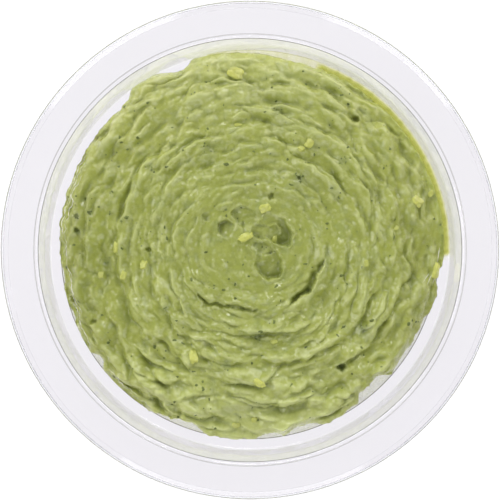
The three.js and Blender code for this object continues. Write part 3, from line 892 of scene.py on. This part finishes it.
# %% The stains round the herbs
# x, y, how many, how far spread, largest half width
FLECK_GROUPS = [
    (-41.6, 8.1, 4, 0.9, 0.42), (-41.3, 4.5, 5, 1.0, 0.50), (-39.7, 12.4, 3, 0.7, 0.30),
    (-38.4, 9.0, 3, 0.8, 0.30), (-33.3, 13.8, 3, 0.6, 0.24), (-33.4, 8.8, 3, 0.7, 0.28),
    (-31.0, 7.1, 3, 0.8, 0.26), (-29.6, 7.4, 2, 0.6, 0.30), (11.8, 17.2, 10, 2.4, 0.34),
    (1.9, -20.5, 9, 2.2, 0.36), (21.9, -28.0, 5, 1.4, 0.38), (-34.6, -3.0, 3, 0.9, 0.26),
    (-20.2, -14.0, 4, 1.2, 0.26), (27.0, -19.2, 7, 2.6, 0.30), (22.4, 21.6, 4, 1.6, 0.28),
    (-6.0, -28.0, 4, 2.0, 0.24), (14.4, -9.6, 4, 1.2, 0.28), (-24.0, 19.8, 4, 1.6, 0.28),
    (-10.0, 24.6, 4, 2.2, 0.24), (6.8, 33.0, 4, 2.0, 0.24),
]
print(f"{len(FLECK_GROUPS)} groups of herb flecks")


def herb_stain(x, y):
    """How strongly the paste is stained, 0 to 1."""
    stain = 0 * x
    for group_x, group_y, count, spread, _ in FLECK_GROUPS:
        off = np.hypot(x - group_x, y - group_y) / (0.45 * spread + 0.45)
        stain = np.maximum(stain, min(count / 5, 1) * np.exp(-off * off * (1 + 0.8 * bumps(x, y, 1.0, 95))))
    return stain


# %% [markdown]
# The paste is painted paler where it stands out, a painted highlight on the sharp crests and a painted sheen
# on the swells, and deeper green where it lies low, a painted shade in the creases. To know which is which,
# each point's height is compared with the mean height round it, once close by for the sharp crests and once
# further off for swells and creases.

# %% Means of the neighbours
corners = np.array(faces)
link_a = np.concatenate([corners[:, 0], corners[:, 1], corners[:, 2]])
link_b = np.concatenate([corners[:, 1], corners[:, 2], corners[:, 0]])
link_count = np.bincount(link_a, minlength=len(top)) + np.bincount(link_b, minlength=len(top))


def averaged(values, rounds):
    """The values, averaged with those of the neighbours as many times over."""
    for _ in range(rounds):
        total = np.bincount(link_a, values[link_b], len(top)) + np.bincount(link_b, values[link_a], len(top))
        values = 0.5 * values + 0.5 * total / link_count
    return values


# %% Creases, crests and swells
close_by, further_off = averaged(top[:, 2], 5), averaged(top[:, 2], 30)
stands_out = (top[:, 2] - close_by) / 0.05
low_by = (further_off - top[:, 2]) / 0.30
away_from_edge = 1 - ease(0.965, 0.99, share)
# painted shade in the creases, painted highlight on the crests, painted sheen on the swells
painted_crease_shade = ease(0.1, 1.5, low_by) * away_from_edge
off_middle = ease(10, 18, np.hypot(top[:, 0], top[:, 1]))
painted_crest_highlight = ease(0.5, 2.0, stands_out) * away_from_edge * (0.35 + 0.65 * off_middle)
painted_swell_sheen = ease(0.3, 1.6, -low_by) * away_from_edge * off_middle
print(f"{np.mean(painted_crease_shade):.2f} of the top lies in creases, {np.mean(painted_crest_highlight):.2f} on crests")

# %% [markdown]
# The outer rings aren't alike all round. At the left and the right they are a deeper green, a painted shade,
# strongest at the left. At the top and the bottom they are paler, a painted sheen, strongest at the bottom,
# and the painted sheen on the swells and the painted shade in the creases are stronger there. The cosine of
# twice the heading is 1 at the sides and -1 at the ends, so it tells them apart. The paste isn't stirred
# through
# either: streaks of paler and deeper green follow the swirl.

# %% Sides, ends and streaks
outer = ease(24, 42, np.hypot(top[:, 0], top[:, 1]))
side_or_end = outer * np.cos(2 * np.arctan2(top[:, 1], top[:, 0]))
# painted shade at the left and right sides, painted sheen at the top and bottom ends
sides_painted_shade = np.clip(side_or_end, 0, 1) * np.where(top[:, 0] < 0, 1.0, 0.5)
ends_painted_light = np.clip(-side_or_end, 0, 1) * np.where(top[:, 1] < 0, 1.0, 0.55)
painted_swell_sheen = painted_swell_sheen * (1 + 0.8 * ends_painted_light)
painted_crease_shade = painted_crease_shade * (1 + 0.8 * ends_painted_light)
streak = smeared(top[:, 0], top[:, 1], 1.5, 161, 7) + 0.7 * smeared(top[:, 0], top[:, 1], 0.9, 162, 3)
print(f"the streaks go from {streak.min():.1f} to {streak.max():.1f}")

# %% [markdown]
# Under the rim the side follows the wall and reaches just into it: with an air gap, the clear wall would
# shine like a mirror. Where the paste trapped air against the wall, shallow pockets stay free. The
# underside follows the floor and its raised panel in the same way.

# %% The wall behind the dip
def wall_radius(z):
    """The inner radius of the tub at a height in mm."""
    lower = FOOT_RADIUS + (SHOULDER_INNER - FOOT_RADIUS) * (z - SHEET) / (SHOULDER_Z - SHEET)
    heights = [SHOULDER_Z, WAIST_Z, TUB_HEIGHT - CHAMFER]
    upper = np.interp(z, heights, [SHOULDER_OUTER, WAIST_RADIUS, MOUTH_RADIUS])
    return np.where(z < SHOULDER_Z, lower, upper)


# %% The side and the underside
SIDE_ROWS = 18
INTO_WALL = 0.08
POCKET_DEPTH = 0.7
RIM_DROP, ROW_DROP = 0.05, 0.02
rim_heading = heading[-SIDES:]
rim_radius = np.hypot(top[-SIDES:, 0], top[-SIDES:, 1])
ledge = np.minimum(top[-SIDES:, 2] - RIM_DROP, SHOULDER_Z - INTO_WALL)
side = [(rim_radius, ledge)]
for row in range(SIDE_ROWS):
    t = row / (SIDE_ROWS - 1)
    z = (ledge - ROW_DROP) * (1 - t) + (SHEET - INTO_WALL) * t
    arc = WALL_ARC * rim_heading
    pocket = ease(0.28, 0.5, bumps(arc, z, 7, 221) + 0.5 * bumps(arc, z, 3, 222))
    pocket = pocket * ease(0, 3, ledge - z) * ease(3, 6, z)
    side.append((np.minimum(rim_radius, wall_radius(z) + INTO_WALL - POCKET_DEPTH * pocket), z))
for r, z in ((PANEL_RADIUS + PANEL_SLOPE, SHEET), (PANEL_RADIUS, SHEET + PANEL_RISE)):
    side.append((np.full(SIDES, r), np.full(SIDES, z - INTO_WALL)))

rows = [np.column_stack([r * np.cos(rim_heading), r * np.sin(rim_heading), z]) for r, z in side]
bottom = np.array([[0, 0, SHEET + PANEL_RISE - INTO_WALL]])
points = np.concatenate([top] + rows + [bottom])
k = np.arange(SIDES)
following = (k + 1) % SIDES
upper = len(top) - SIDES
for row in range(len(rows)):
    lower = len(top) + row * SIDES
    faces += np.column_stack([lower + k, lower + following, upper + following, upper + k]).tolist()
    upper = lower
faces += np.column_stack([np.full(SIDES, len(points) - 1), upper + following, upper + k]).tolist()
print(f"the whole dip has {len(points)} points")

# %% [markdown]
# ## Mashed avocado
# Avocado flesh is fat and water, so the paste is a soft green that light sinks into a little, with a wet
# gloss that changes from place to place. It was laid by a nozzle, so its surface has no grain of its own,
# but the mash is mixed: yellow-green flesh, paler lumps, grey-green parts where herbs and juice gather, and
# dark flecks. Four helpers come first: soft patches, a tint, and two that write and read a value for each
# point of a mesh.

# %% Helpers for a mixed colour
def patches(size_mm, low, high, detail=2.0):
    """A mask of soft patches of a size, from 0 below one noise value to 1 above another."""
    cloud = add(tree, "ShaderNodeTexNoise", {"Vector": place}, Scale=1 / (size_mm * MM), Detail=detail)
    return add(tree, "ShaderNodeMapRange", {"Value": cloud.outputs["Fac"]}, interpolation_type="SMOOTHSTEP",
               From_Min=low, From_Max=high).outputs[0]


def tinted(base, mask, amount, hex_code):
    """The base colour mixed towards another one by a mask."""
    strength = add(tree, "ShaderNodeMath", {0: mask}, operation="MULTIPLY")
    strength.inputs[1].default_value = amount
    mix = add(tree, "ShaderNodeMix", {0: strength.outputs[0], 6: base}, data_type="RGBA")
    mix.inputs[7].default_value = colour(hex_code)
    return mix.outputs[2]


def store(piece, name, values):
    """Writes a value for each point of a piece's mesh."""
    piece.data.attributes.new(name, "FLOAT", "POINT").data.foreach_set("value", values)


def stored(name):
    """Reads a value that a mesh stores for each of its points."""
    return add(tree, "ShaderNodeAttribute", attribute_name=name).outputs["Fac"]


# %% [markdown]
# The mash starts as plain flesh. Patches of four sizes vary it, as pieces of riper and greener fruit do.
# The paste is a little duller towards the middle. How far a point is from it is taken from the origin, which
# lies about 28 mm under the top.

# %% The colour of the mash
paste, tree = new_material("mashed_avocado_swirled")
place = add(tree, "ShaderNodeTexCoord").outputs["Object"]
flesh = add(tree, "ShaderNodeRGB")
flesh.outputs[0].default_value = colour("9EA64C")
DULLEST_AT, CLEAR_AT = 24, 52
from_middle = add(tree, "ShaderNodeVectorMath", {0: place}, operation="LENGTH")
duller_towards_middle = add(tree, "ShaderNodeMapRange", {"Value": from_middle.outputs["Value"]},
                   interpolation_type="SMOOTHSTEP", From_Min=CLEAR_AT * MM, From_Max=DULLEST_AT * MM)
mixed = tinted(flesh.outputs[0], patches(7.0, 0.42, 0.62), 0.50, "ACB35A")
mixed = tinted(mixed, duller_towards_middle.outputs[0], 0.38, "8A9450")
mixed = tinted(mixed, patches(3.4, 0.53, 0.68), 0.40, "8E9A5E")
mixed = tinted(mixed, patches(2.3, 0.54, 0.68), 0.30, "BCC284")
mixed = tinted(mixed, patches(1.4, 0.58, 0.68), 0.16, "CBD09A")

# %% [markdown]
# Over that go the tints whose places the mesh knows: streaks, soft lumps, painted shade in the creases,
# painted highlights on the crests and painted sheen on the swells, painted shade at the sides and painted
# sheen at the ends, the parts pressed smooth on the wall with painted shade along the right edge, and the
# stains of the herbs.

# %% Tints by place
# value that the mesh stores, how strong the tint is, and its colour
# painted light among these: crease shade, crest highlight, swell sheen, side shade, end sheen, right edge
# shade
TINTS_BY_PLACE = [
    ("pale_streak", 0.24, "C2C98C"), ("deep_streak", 0.26, "8A9450"), ("pale_lump", 0.42, "CACE94"),
    ("painted_crease_shade", 0.40, "758037"), ("painted_crest_highlight", 0.17, "D0D69E"), ("painted_swell_sheen", 0.34, "C6CD86"),
    ("sides_painted_shade", 0.44, "848E3A"), ("ends_painted_light", 0.40, "C8D08A"), ("pressed_and_edge_shade", 0.6, "8E9A3C"),
    ("herb_stain", 0.55, "66734A"),
]
for name, amount, hex_code in TINTS_BY_PLACE:
    mixed = tinted(mixed, stored(name), amount, hex_code)
print(f"{len(TINTS_BY_PLACE)} tints by place")

# %% [markdown]
# Fine bits of skin are specks up to half a millimetre wide and about 3 mm apart. The gloss changes in
# patches of 2 mm, between wet and half dry. The grain of crushed cells, under a tenth of a millimetre in
# the fruit, is drawn 0.45 mm wide so that it shows. A thin coat with the index of oil stands for the oil
# that mashing sets free.

# %% Specks, gloss and grain
SPECK_SPACING_MM, GLOSS_PATCH_MM, GRAIN_MM = 3.4, 2.0, 0.45
dots = add(tree, "ShaderNodeTexVoronoi", {"Vector": place}, Scale=1 / (SPECK_SPACING_MM * MM), Randomness=1.0)
speck = add(tree, "ShaderNodeMapRange", {"Value": dots.outputs["Distance"]}, From_Min=0.10, From_Max=0.05)
mixed = tinted(mixed, speck.outputs[0], 0.45, "6E7C45")
wet_patches = patches(GLOSS_PATCH_MM, 0.3, 0.7)
gloss = add(tree, "ShaderNodeMapRange", {"Value": wet_patches}, To_Min=0.16, To_Max=0.34)
grain = add(tree, "ShaderNodeTexNoise", {"Vector": place}, Scale=1 / (GRAIN_MM * MM), Detail=3.0)
rough = add(tree, "ShaderNodeBump", {"Height": grain.outputs["Fac"]}, Strength=0.25, Distance=0.10 * MM)
body = add(tree, "ShaderNodeBsdfPrincipled",
           {"Base Color": mixed, "Roughness": gloss.outputs[0], "Normal": rough.outputs[0]},
           IOR=1.42, Coat_Weight=0.35, Coat_Roughness=0.08, Coat_IOR=1.47, Subsurface_Weight=0.12,
           Subsurface_Scale=1.0 * MM, Subsurface_Radius=(1.0, 0.9, 0.4))
add(tree, "ShaderNodeOutputMaterial", {"Surface": body.outputs[0]})

# %% The dip
dip = mesh_piece("avocado_dip", points * MM, faces, paste)
hidden = np.zeros(len(points) - len(top))
values_by_place = {
    "pale_lump": pale, "pressed_and_edge_shade": pressed_and_edge_shade, "painted_crease_shade": painted_crease_shade, "painted_crest_highlight": painted_crest_highlight,
    "painted_swell_sheen": painted_swell_sheen, "sides_painted_shade": sides_painted_shade, "ends_painted_light": ends_painted_light,
    "herb_stain": herb_stain(top[:, 0], top[:, 1]),
    "pale_streak": ease(0.15, 0.65, streak), "deep_streak": ease(0.15, 0.65, -streak),
}
for name, values in values_by_place.items():
    store(dip, name, np.concatenate([values, hidden]))
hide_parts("dip")

# %% [markdown]
# ## Pieces in the paste
# Some pieces stayed whole. The largest are chunks of ripe flesh, yellower than the paste, which stand half
# out of it. They are listed one by one. To sit right, a piece needs to know how high the dip is under it, so
# the first helper reads the dip's own mesh with a ray from above.

# %% The height of the dip under a point
def dip_at(x, y):
    """The point of the dip's top straight under x, y, and its normal, in mm."""
    hit, where, normal, _ = dip.ray_cast(Vector((x * MM, y * MM, 0.1)), Vector((0, 0, -1)))
    return (where / MM, normal) if hit else (None, None)


# %% [markdown]
# A chunk could be a scaled sphere, but it would look like a pea. Here the ball is first made blockier, as a
# broken piece is, and then its points move in and out with soft bumps of two sizes.

# %% A broken piece
def lumpy_ball(subdivisions, seed, unevenness):
    """The points and faces of a blocky ball of about radius one with soft dents."""
    mesh = bmesh.new()
    bmesh.ops.create_icosphere(mesh, subdivisions=subdivisions, radius=1)
    mesh.verts.ensure_lookup_table()
    ball = np.array([v.co for v in mesh.verts])
    triangles = [[v.index for v in face.verts] for face in mesh.faces]
    mesh.free()
    ball = ball / (np.abs(ball) ** 3).sum(axis=1)[:, None] ** (1 / 3)
    dents = bumps(ball[:, 0] + 3 * seed, ball[:, 1] + ball[:, 2], 1.1, seed)
    dents = dents + 0.55 * bumps(ball[:, 1] + 3 * seed, ball[:, 2] - ball[:, 0], 0.5, seed + 1)
    return ball * (1 + unevenness * dents)[:, None], triangles


# %% Chunks of flesh
STANDS_OUT = 0.05
HALF_LENGTH, HALF_WIDTH, HALF_HEIGHT = 0.53, 0.50, 0.32
UNEVENNESS = 0.30
chunk_points, chunk_faces, chunk_plain = [], [], []
for k, (x, y, length, width, turn) in enumerate(CHUNKS):
    under, normal = dip_at(x, y)
    ball, triangles = lumpy_ball(4, 400 + 2 * k, UNEVENNESS)
    ball = ball * np.array([HALF_LENGTH * length, HALF_WIDTH * width, HALF_HEIGHT * width])
    spin = Matrix.Rotation(radians(turn), 3, "Z")
    tilt = Vector((0, 0, 1)).rotation_difference(normal).to_matrix()
    placed = ball @ np.array(tilt @ spin).T + np.array(under + normal * STANDS_OUT * width)
    chunk_faces += [[len(chunk_points) * len(ball) + i for i in face] for face in triangles]
    chunk_points.append(placed)
    chunk_plain += [0.6 * min(max((2.7 - length) / 1.0, 0), 1)] * len(ball)
print(f"{len(CHUNKS)} chunks")

# %% [markdown]
# Ripe flesh is firm and waxy: less glossy than the wet paste, with fine fibres, and light sinks into it.
# Paste clings to the foot of each chunk and half covers the small ones, so the colour nears the paste's
# there. The fibres are drawn 0.35 mm apart, coarser than in the fruit, so that they show.

# %% Broken ripe flesh
ripe, tree = new_material("ripe_avocado_flesh_broken")
place = add(tree, "ShaderNodeTexCoord").outputs["Object"]
pale_flesh = add(tree, "ShaderNodeRGB")
pale_flesh.outputs[0].default_value = colour("C4C866")
mixed = tinted(pale_flesh.outputs[0], patches(1.6, 0.45, 0.65), 0.6, "D6D98C")
mixed = tinted(mixed, patches(0.9, 0.55, 0.70), 0.4, "A9B048")
mixed = tinted(mixed, stored("sunk"), 0.95, "A6AD58")
FIBRE_MM = 0.35
fibres = add(tree, "ShaderNodeTexNoise", {"Vector": place}, Scale=1 / (FIBRE_MM * MM), Detail=2.0)
rough = add(tree, "ShaderNodeBump", {"Height": fibres.outputs["Fac"]}, Strength=0.3, Distance=0.1 * MM)
waxy = add(tree, "ShaderNodeBsdfPrincipled", {"Base Color": mixed, "Normal": rough.outputs[0]},
           Roughness=0.32, IOR=1.44, Subsurface_Weight=0.2, Subsurface_Scale=1.0 * MM,
           Subsurface_Radius=(1.0, 0.9, 0.4))
add(tree, "ShaderNodeOutputMaterial", {"Surface": waxy.outputs[0]})

chunks = mesh_piece("avocado_chunks", np.concatenate(chunk_points) * MM, chunk_faces, ripe)
SUNK_DEPTH = 0.55
above = []
for x, y, z in np.concatenate(chunk_points):
    under, _ = dip_at(x, y)
    above.append(z - under.z if under else SUNK_DEPTH)
store(chunks, "sunk", np.maximum(1 - ease(0, SUNK_DEPTH, np.array(above)), chunk_plain))

# %% [markdown]
# Dark flecks are bits of chopped herb leaf and skin, a third of a millimetre to one millimetre wide. Most
# are single and scattered, thinned by soft bumps so that they come in loose drifts. The groups that stand out
# are listed one by one.

# %% Herb flecks
FLECKS = 700
FLECKS_REACH = 46.5
spots = []
for k in range(FLECKS):
    away, turn = FLECKS_REACH * np.sqrt(float(draw(k, 501))), 2 * pi * float(draw(k, 502))
    x, y = away * cos(turn), away * sin(turn)
    if float(bumps(x, y, 7, 503)) > -0.40 + 1.1 * float(draw(k, 504)):
        spots.append((x, y, 0.15 + 0.28 * float(draw(k, 505)) ** 2.0))
for x, y, count, spread, largest in FLECK_GROUPS:
    for k in range(count):
        number = 1000 + len(spots)
        off_x, off_y = spread * (float(draw(number, 511)) - 0.5), spread * (float(draw(number, 512)) - 0.5)
        spots.append((x + off_x, y + off_y, largest * (0.45 + 0.55 * float(draw(number, 513)))))
print(f"{len(spots)} spots")

# %% [markdown]
# Each fleck is a thin plate with a ragged outline, lying on the paste or half under it: a middle point and
# three rings of corners, of which the second is the widest. It is tilted as the dip is under it. Where the
# dip is too steep or too low, no fleck would stay, so none is made.

# %% The shape of the flecks
FLECK_CORNERS = 7
# height in mm and share of the full width, from the middle point down
FLECK_LEVELS = ((0.06, 0.0), (0.05, 0.75), (-0.02, 1.0), (-0.08, 0.6))
fleck_points, fleck_faces = [], []
for k, (x, y, size) in enumerate(spots):
    turn = 2 * pi * float(draw(k, 514))
    under, normal = dip_at(x, y)
    if under is None or under.z < FILL_Z - 2 or normal.z < 0.3:
        continue
    tilt = Vector((0, 0, 1)).rotation_difference(normal).to_matrix()
    base = under - normal * 0.03 * float(draw(k, 506))
    first = len(fleck_points)
    for level, grow in FLECK_LEVELS:
        for c in range(FLECK_CORNERS if grow else 1):
            angle = 2 * pi * c / FLECK_CORNERS + turn
            reach = size * grow * (0.6 + 0.7 * float(draw(k, c, 507)))
            stretch = 1.0 + 0.9 * float(draw(k, 508))
            flat = Vector((reach * stretch * cos(angle - turn), reach * sin(angle - turn), level))
            flat.rotate(Matrix.Rotation(turn * 3, 3, "Z"))
            fleck_points.append(base + tilt @ flat)
    rings = [first + 1, first + 1 + FLECK_CORNERS, first + 1 + 2 * FLECK_CORNERS]
    for c in range(FLECK_CORNERS):
        n = (c + 1) % FLECK_CORNERS
        fleck_faces.append((first, rings[0] + c, rings[0] + n))
        for upper, lower in zip(rings, rings[1:]):
            fleck_faces.append((upper + n, upper + c, lower + c, lower + n))
    fleck_faces.append(tuple(rings[2] + FLECK_CORNERS - 1 - c for c in range(FLECK_CORNERS)))

# %% [markdown]
# Chopped herb leaf looks matt next to the wet paste, and dark green with parts of olive. Its veins are
# drawn 0.2 mm apart.

# %% Wet herb leaf
VEIN_MM = 0.2
herb, tree = new_material("chopped_herb_leaf_wet")
place = add(tree, "ShaderNodeTexCoord").outputs["Object"]
leaf = add(tree, "ShaderNodeRGB")
leaf.outputs[0].default_value = colour("6A7638")
mixed = tinted(leaf.outputs[0], patches(2.0, 0.45, 0.6), 0.7, "4E5A24")
mixed = tinted(mixed, patches(5.0, 0.5, 0.6), 0.5, "7F8B4A")
veins = add(tree, "ShaderNodeTexNoise", {"Vector": place}, Scale=1 / (VEIN_MM * MM), Detail=2.0)
rough = add(tree, "ShaderNodeBump", {"Height": veins.outputs["Fac"]}, Strength=0.3, Distance=0.05 * MM)
wet_leaf = add(tree, "ShaderNodeBsdfPrincipled", {"Base Color": mixed, "Normal": rough.outputs[0]},
               Roughness=0.6, IOR=1.42)
add(tree, "ShaderNodeOutputMaterial", {"Surface": wet_leaf.outputs[0]})
flecks = mesh_piece("herb_flecks", np.array(fleck_points) * MM, fleck_faces, herb)

# %% [markdown]
# On the right the dip thins out to a film that lies on the ledge and climbs a little up the wall. It could
# be painted on the tub, but it has a thickness and a gloss of its own. So it is a thin closed skin: a row
# of points just inside the clear sheet, and a row above it as far off as the film is thick.

# %% The film on the ledge
FILM_START, FILM_END = -3, 104
FILM_STEPS = 560
FILM_ARC = 48
# radius and height along the ledge and up the foot of the wall
FILM_PATH = [
    (46.2, 26.95), (46.8, 26.95), (47.4, 26.95), (47.8, 27.03), (48.0, 27.3), (48.1, 27.7), (48.2, 28.1),
    (48.25, 28.5),
]
FILM_THICK, FILM_THIN = 0.75, 0.04
film_points, film_faces, film_thin = [], [], []
columns = len(FILM_PATH)
for step in range(FILM_STEPS):
    turn = radians(FILM_START + (FILM_END - FILM_START) * step / (FILM_STEPS - 1))
    arc = FILM_ARC * turn
    full = float(ease(71, 68, np.degrees(turn)))
    ragged = float(0.16 * bumps(arc, 0.0, 3.0, 601) + 0.12 * bumps(arc, 0.0, 1.1, 602))
    ends = float(ease(2.0, 0.3, FILM_END - np.degrees(turn)) + ease(2.6, 0.4, np.degrees(turn) - FILM_START))
    for k, (r, z) in enumerate(FILM_PATH):
        share = k / (columns - 1)
        left = max(1 - share, 0) * (0.25 + 0.75 * full) * float(ease(0, 2.0, np.degrees(turn) - FILM_START))
        thickness = FILM_THIN + (FILM_THICK - FILM_THIN) * left ** 1.3
        steep = float(ease(0.35, 0.75, share))
        on_right = (share - 0.25) * 1.3 + ragged
        on_top = 0.62 + 0.7 * ragged + 0.35 * float(ease(0.85, 1.0, share))
        film_thin.append(min(max(on_right * full + on_top * (1 - full) + ends, 0), 1))
        film_points.append((r * cos(turn), r * sin(turn), z))
        film_points.append(((r - thickness * steep) * cos(turn), (r - thickness * steep) * sin(turn),
                            z + thickness * (1 - steep)))
film_thin = np.repeat(film_thin, 2)
loop = [2 * k for k in range(columns)] + [2 * k + 1 for k in range(columns - 1, -1, -1)]
for step in range(FILM_STEPS - 1):
    a, b = 2 * columns * step, 2 * columns * (step + 1)
    for i, j in zip(loop, loop[1:] + loop[:1]):
        film_faces.append((a + i, b + i, b + j, a + j))
film_faces.append(tuple(loop))
film_faces.append(tuple(2 * columns * (FILM_STEPS - 1) + i for i in loop[::-1]))
print(f"the film goes from {FILM_START} to {FILM_END} degrees, and is {FILM_THICK} mm thick at most")

# %% [markdown]
# Paste this thin lets the light table shine up through it, so it is the brightest yellow-green of all, and
# it fades to clear where it is thinnest: up the foot of the wall at the right, and nearly all over at the
# top. Most of it is a transparent tint for that reason, and only a little is solid and wet.

# %% Thin paste on plastic
thin_paste, tree = new_material("avocado_film_thin_on_plastic")
through = add(tree, "ShaderNodeValToRGB", {"Fac": stored("thin")})
ramp = through.color_ramp
ramp.elements[0].color, ramp.elements[1].color = colour("DDE09C"), colour("FFFFFD")
for place_on_ramp, hex_code in ((0.12, "E9EBB2"), (0.25, "F2F3C8"), (0.50, "F8F8E2"), (0.75, "FCFCF2")):
    ramp.elements.new(place_on_ramp).color = colour(hex_code)
clear = add(tree, "ShaderNodeBsdfTransparent", {"Color": through.outputs["Color"]})
wet = add(tree, "ShaderNodeBsdfPrincipled", Base_Color=colour("C6CC62"), Roughness=0.3, IOR=1.42)
solid = add(tree, "ShaderNodeMapRange", {"Value": stored("thin")}, To_Min=0.20, To_Max=0.01)
both = add(tree, "ShaderNodeMixShader", {0: solid.outputs[0], 1: clear.outputs[0], 2: wet.outputs[0]})
add(tree, "ShaderNodeOutputMaterial", {"Surface": both.outputs[0]})

film = mesh_piece("ledge_film", np.array(film_points) * MM, film_faces, thin_paste)
store(film, "thin", film_thin)

# %% [markdown]
# Where the wet paste was pulled apart it drew out into threads hardly thicker than a hair, which catch the
# light. They lie beside the chunk at the right. Along the left rim the threads are milky white tubes that
# stand in for a line of glints, a painted highlight. A curve with a bevel could make them. A tube of points
# is used instead, because it can follow the surface of the dip at each step.

# %% Threads
# start and end heading in degrees, and how far inside the edge
# the threads along the rim are painted glints
RIM_GLINT_THREADS = [
    (150, 163, 0.5), (152, 166, 1.0), (156, 172, 1.7), (163, 176, 0.7), (172, 190, 1.5), (187, 201, 1.9),
    (196, 210, 1.3), (220, 231, 1.3),
]
# first and last point in mm
PULLED_THREADS = [((43.2, -5.4), (41.4, -7.9)), ((43.9, -5.6), (42.6, -8.2)), ((44.6, -5.9), (43.8, -8.6)),
                  ((45.0, -3.2), (45.6, 0.6))]
THREAD_RADIUS = 0.10
THREAD_SIDES = 5
RIM_STEPS, PULLED_STEPS = 90, 14
thread_points, thread_faces = [], []


def thread(path):
    """Adds a tube that lies on the dip along a path of x, y points in mm, thinnest at its ends."""
    first = len(thread_points)
    for i, (x, y) in enumerate(path):
        under, normal = dip_at(x, y)
        ahead, behind = path[min(i + 1, len(path) - 1)], path[max(i - 1, 0)]
        along = Vector((ahead[0] - behind[0], ahead[1] - behind[1], 0)).normalized()
        across = normal.cross(along).normalized()
        bulge = (0.3 + 0.7 * sin(pi * i / (len(path) - 1))) * (1 + 0.5 * float(bumps(x, y, 0.9, 620)))
        radius = THREAD_RADIUS * bulge
        for k in range(THREAD_SIDES):
            a = 2 * pi * k / THREAD_SIDES
            thread_points.append(under + radius * (across * cos(a) + normal * (sin(a) + 0.5)))
    for i in range(len(path) - 1):
        a = first + THREAD_SIDES * i
        for k in range(THREAD_SIDES):
            n = (k + 1) % THREAD_SIDES
            thread_faces.append((a + k, a + n, a + THREAD_SIDES + n, a + THREAD_SIDES + k))
    thread_faces.append(tuple(first + k for k in reversed(range(THREAD_SIDES))))
    thread_faces.append(tuple(first + THREAD_SIDES * (len(path) - 1) + k for k in range(THREAD_SIDES)))


for k, (start, end, inset) in enumerate(RIM_GLINT_THREADS):
    turns = np.radians(np.linspace(start, end, RIM_STEPS))
    arc_x, arc_y = WALL_ARC * np.cos(turns), WALL_ARC * np.sin(turns)
    inside = inset * (1 + 0.35 * bumps(arc_x, arc_y, 2.6, 610 + k) + 0.12 * bumps(arc_x, arc_y, 0.9, 630 + k))
    reach = edge_radius(turns) - np.maximum(inside, 0.25)
    thread(list(zip(reach * np.cos(turns), reach * np.sin(turns))))
for (ax, ay), (bx, by) in PULLED_THREADS:
    shares = np.linspace(0, 1, PULLED_STEPS)
    thread(list(zip(ax + (bx - ax) * shares, ay + (by - ay) * shares)))
print(f"{len(RIM_GLINT_THREADS)} threads along the rim and {len(PULLED_THREADS)} beside the chunk")

# %% [markdown]
# A thread is more juice than flesh, so it is milky and glossy, with parts where paste still clings to it.
# Its near-white colour also paints the highlight of the glints along the left rim.

# %% Wet threads
glint_thread_paint, tree = new_material("avocado_thread_milky_painted_glint")
place = add(tree, "ShaderNodeTexCoord").outputs["Object"]
milky_glint = add(tree, "ShaderNodeRGB")
milky_glint.outputs[0].default_value = colour("F0F1DC")
mixed = tinted(milky_glint.outputs[0], patches(1.2, 0.45, 0.6), 0.7, "B4BA6C")
shine = add(tree, "ShaderNodeBsdfPrincipled", {"Base Color": mixed}, Roughness=0.18, IOR=1.42)
add(tree, "ShaderNodeOutputMaterial", {"Surface": shine.outputs[0]})
threads = mesh_piece("threads_and_painted_glints", np.array(thread_points) * MM, thread_faces, glint_thread_paint)
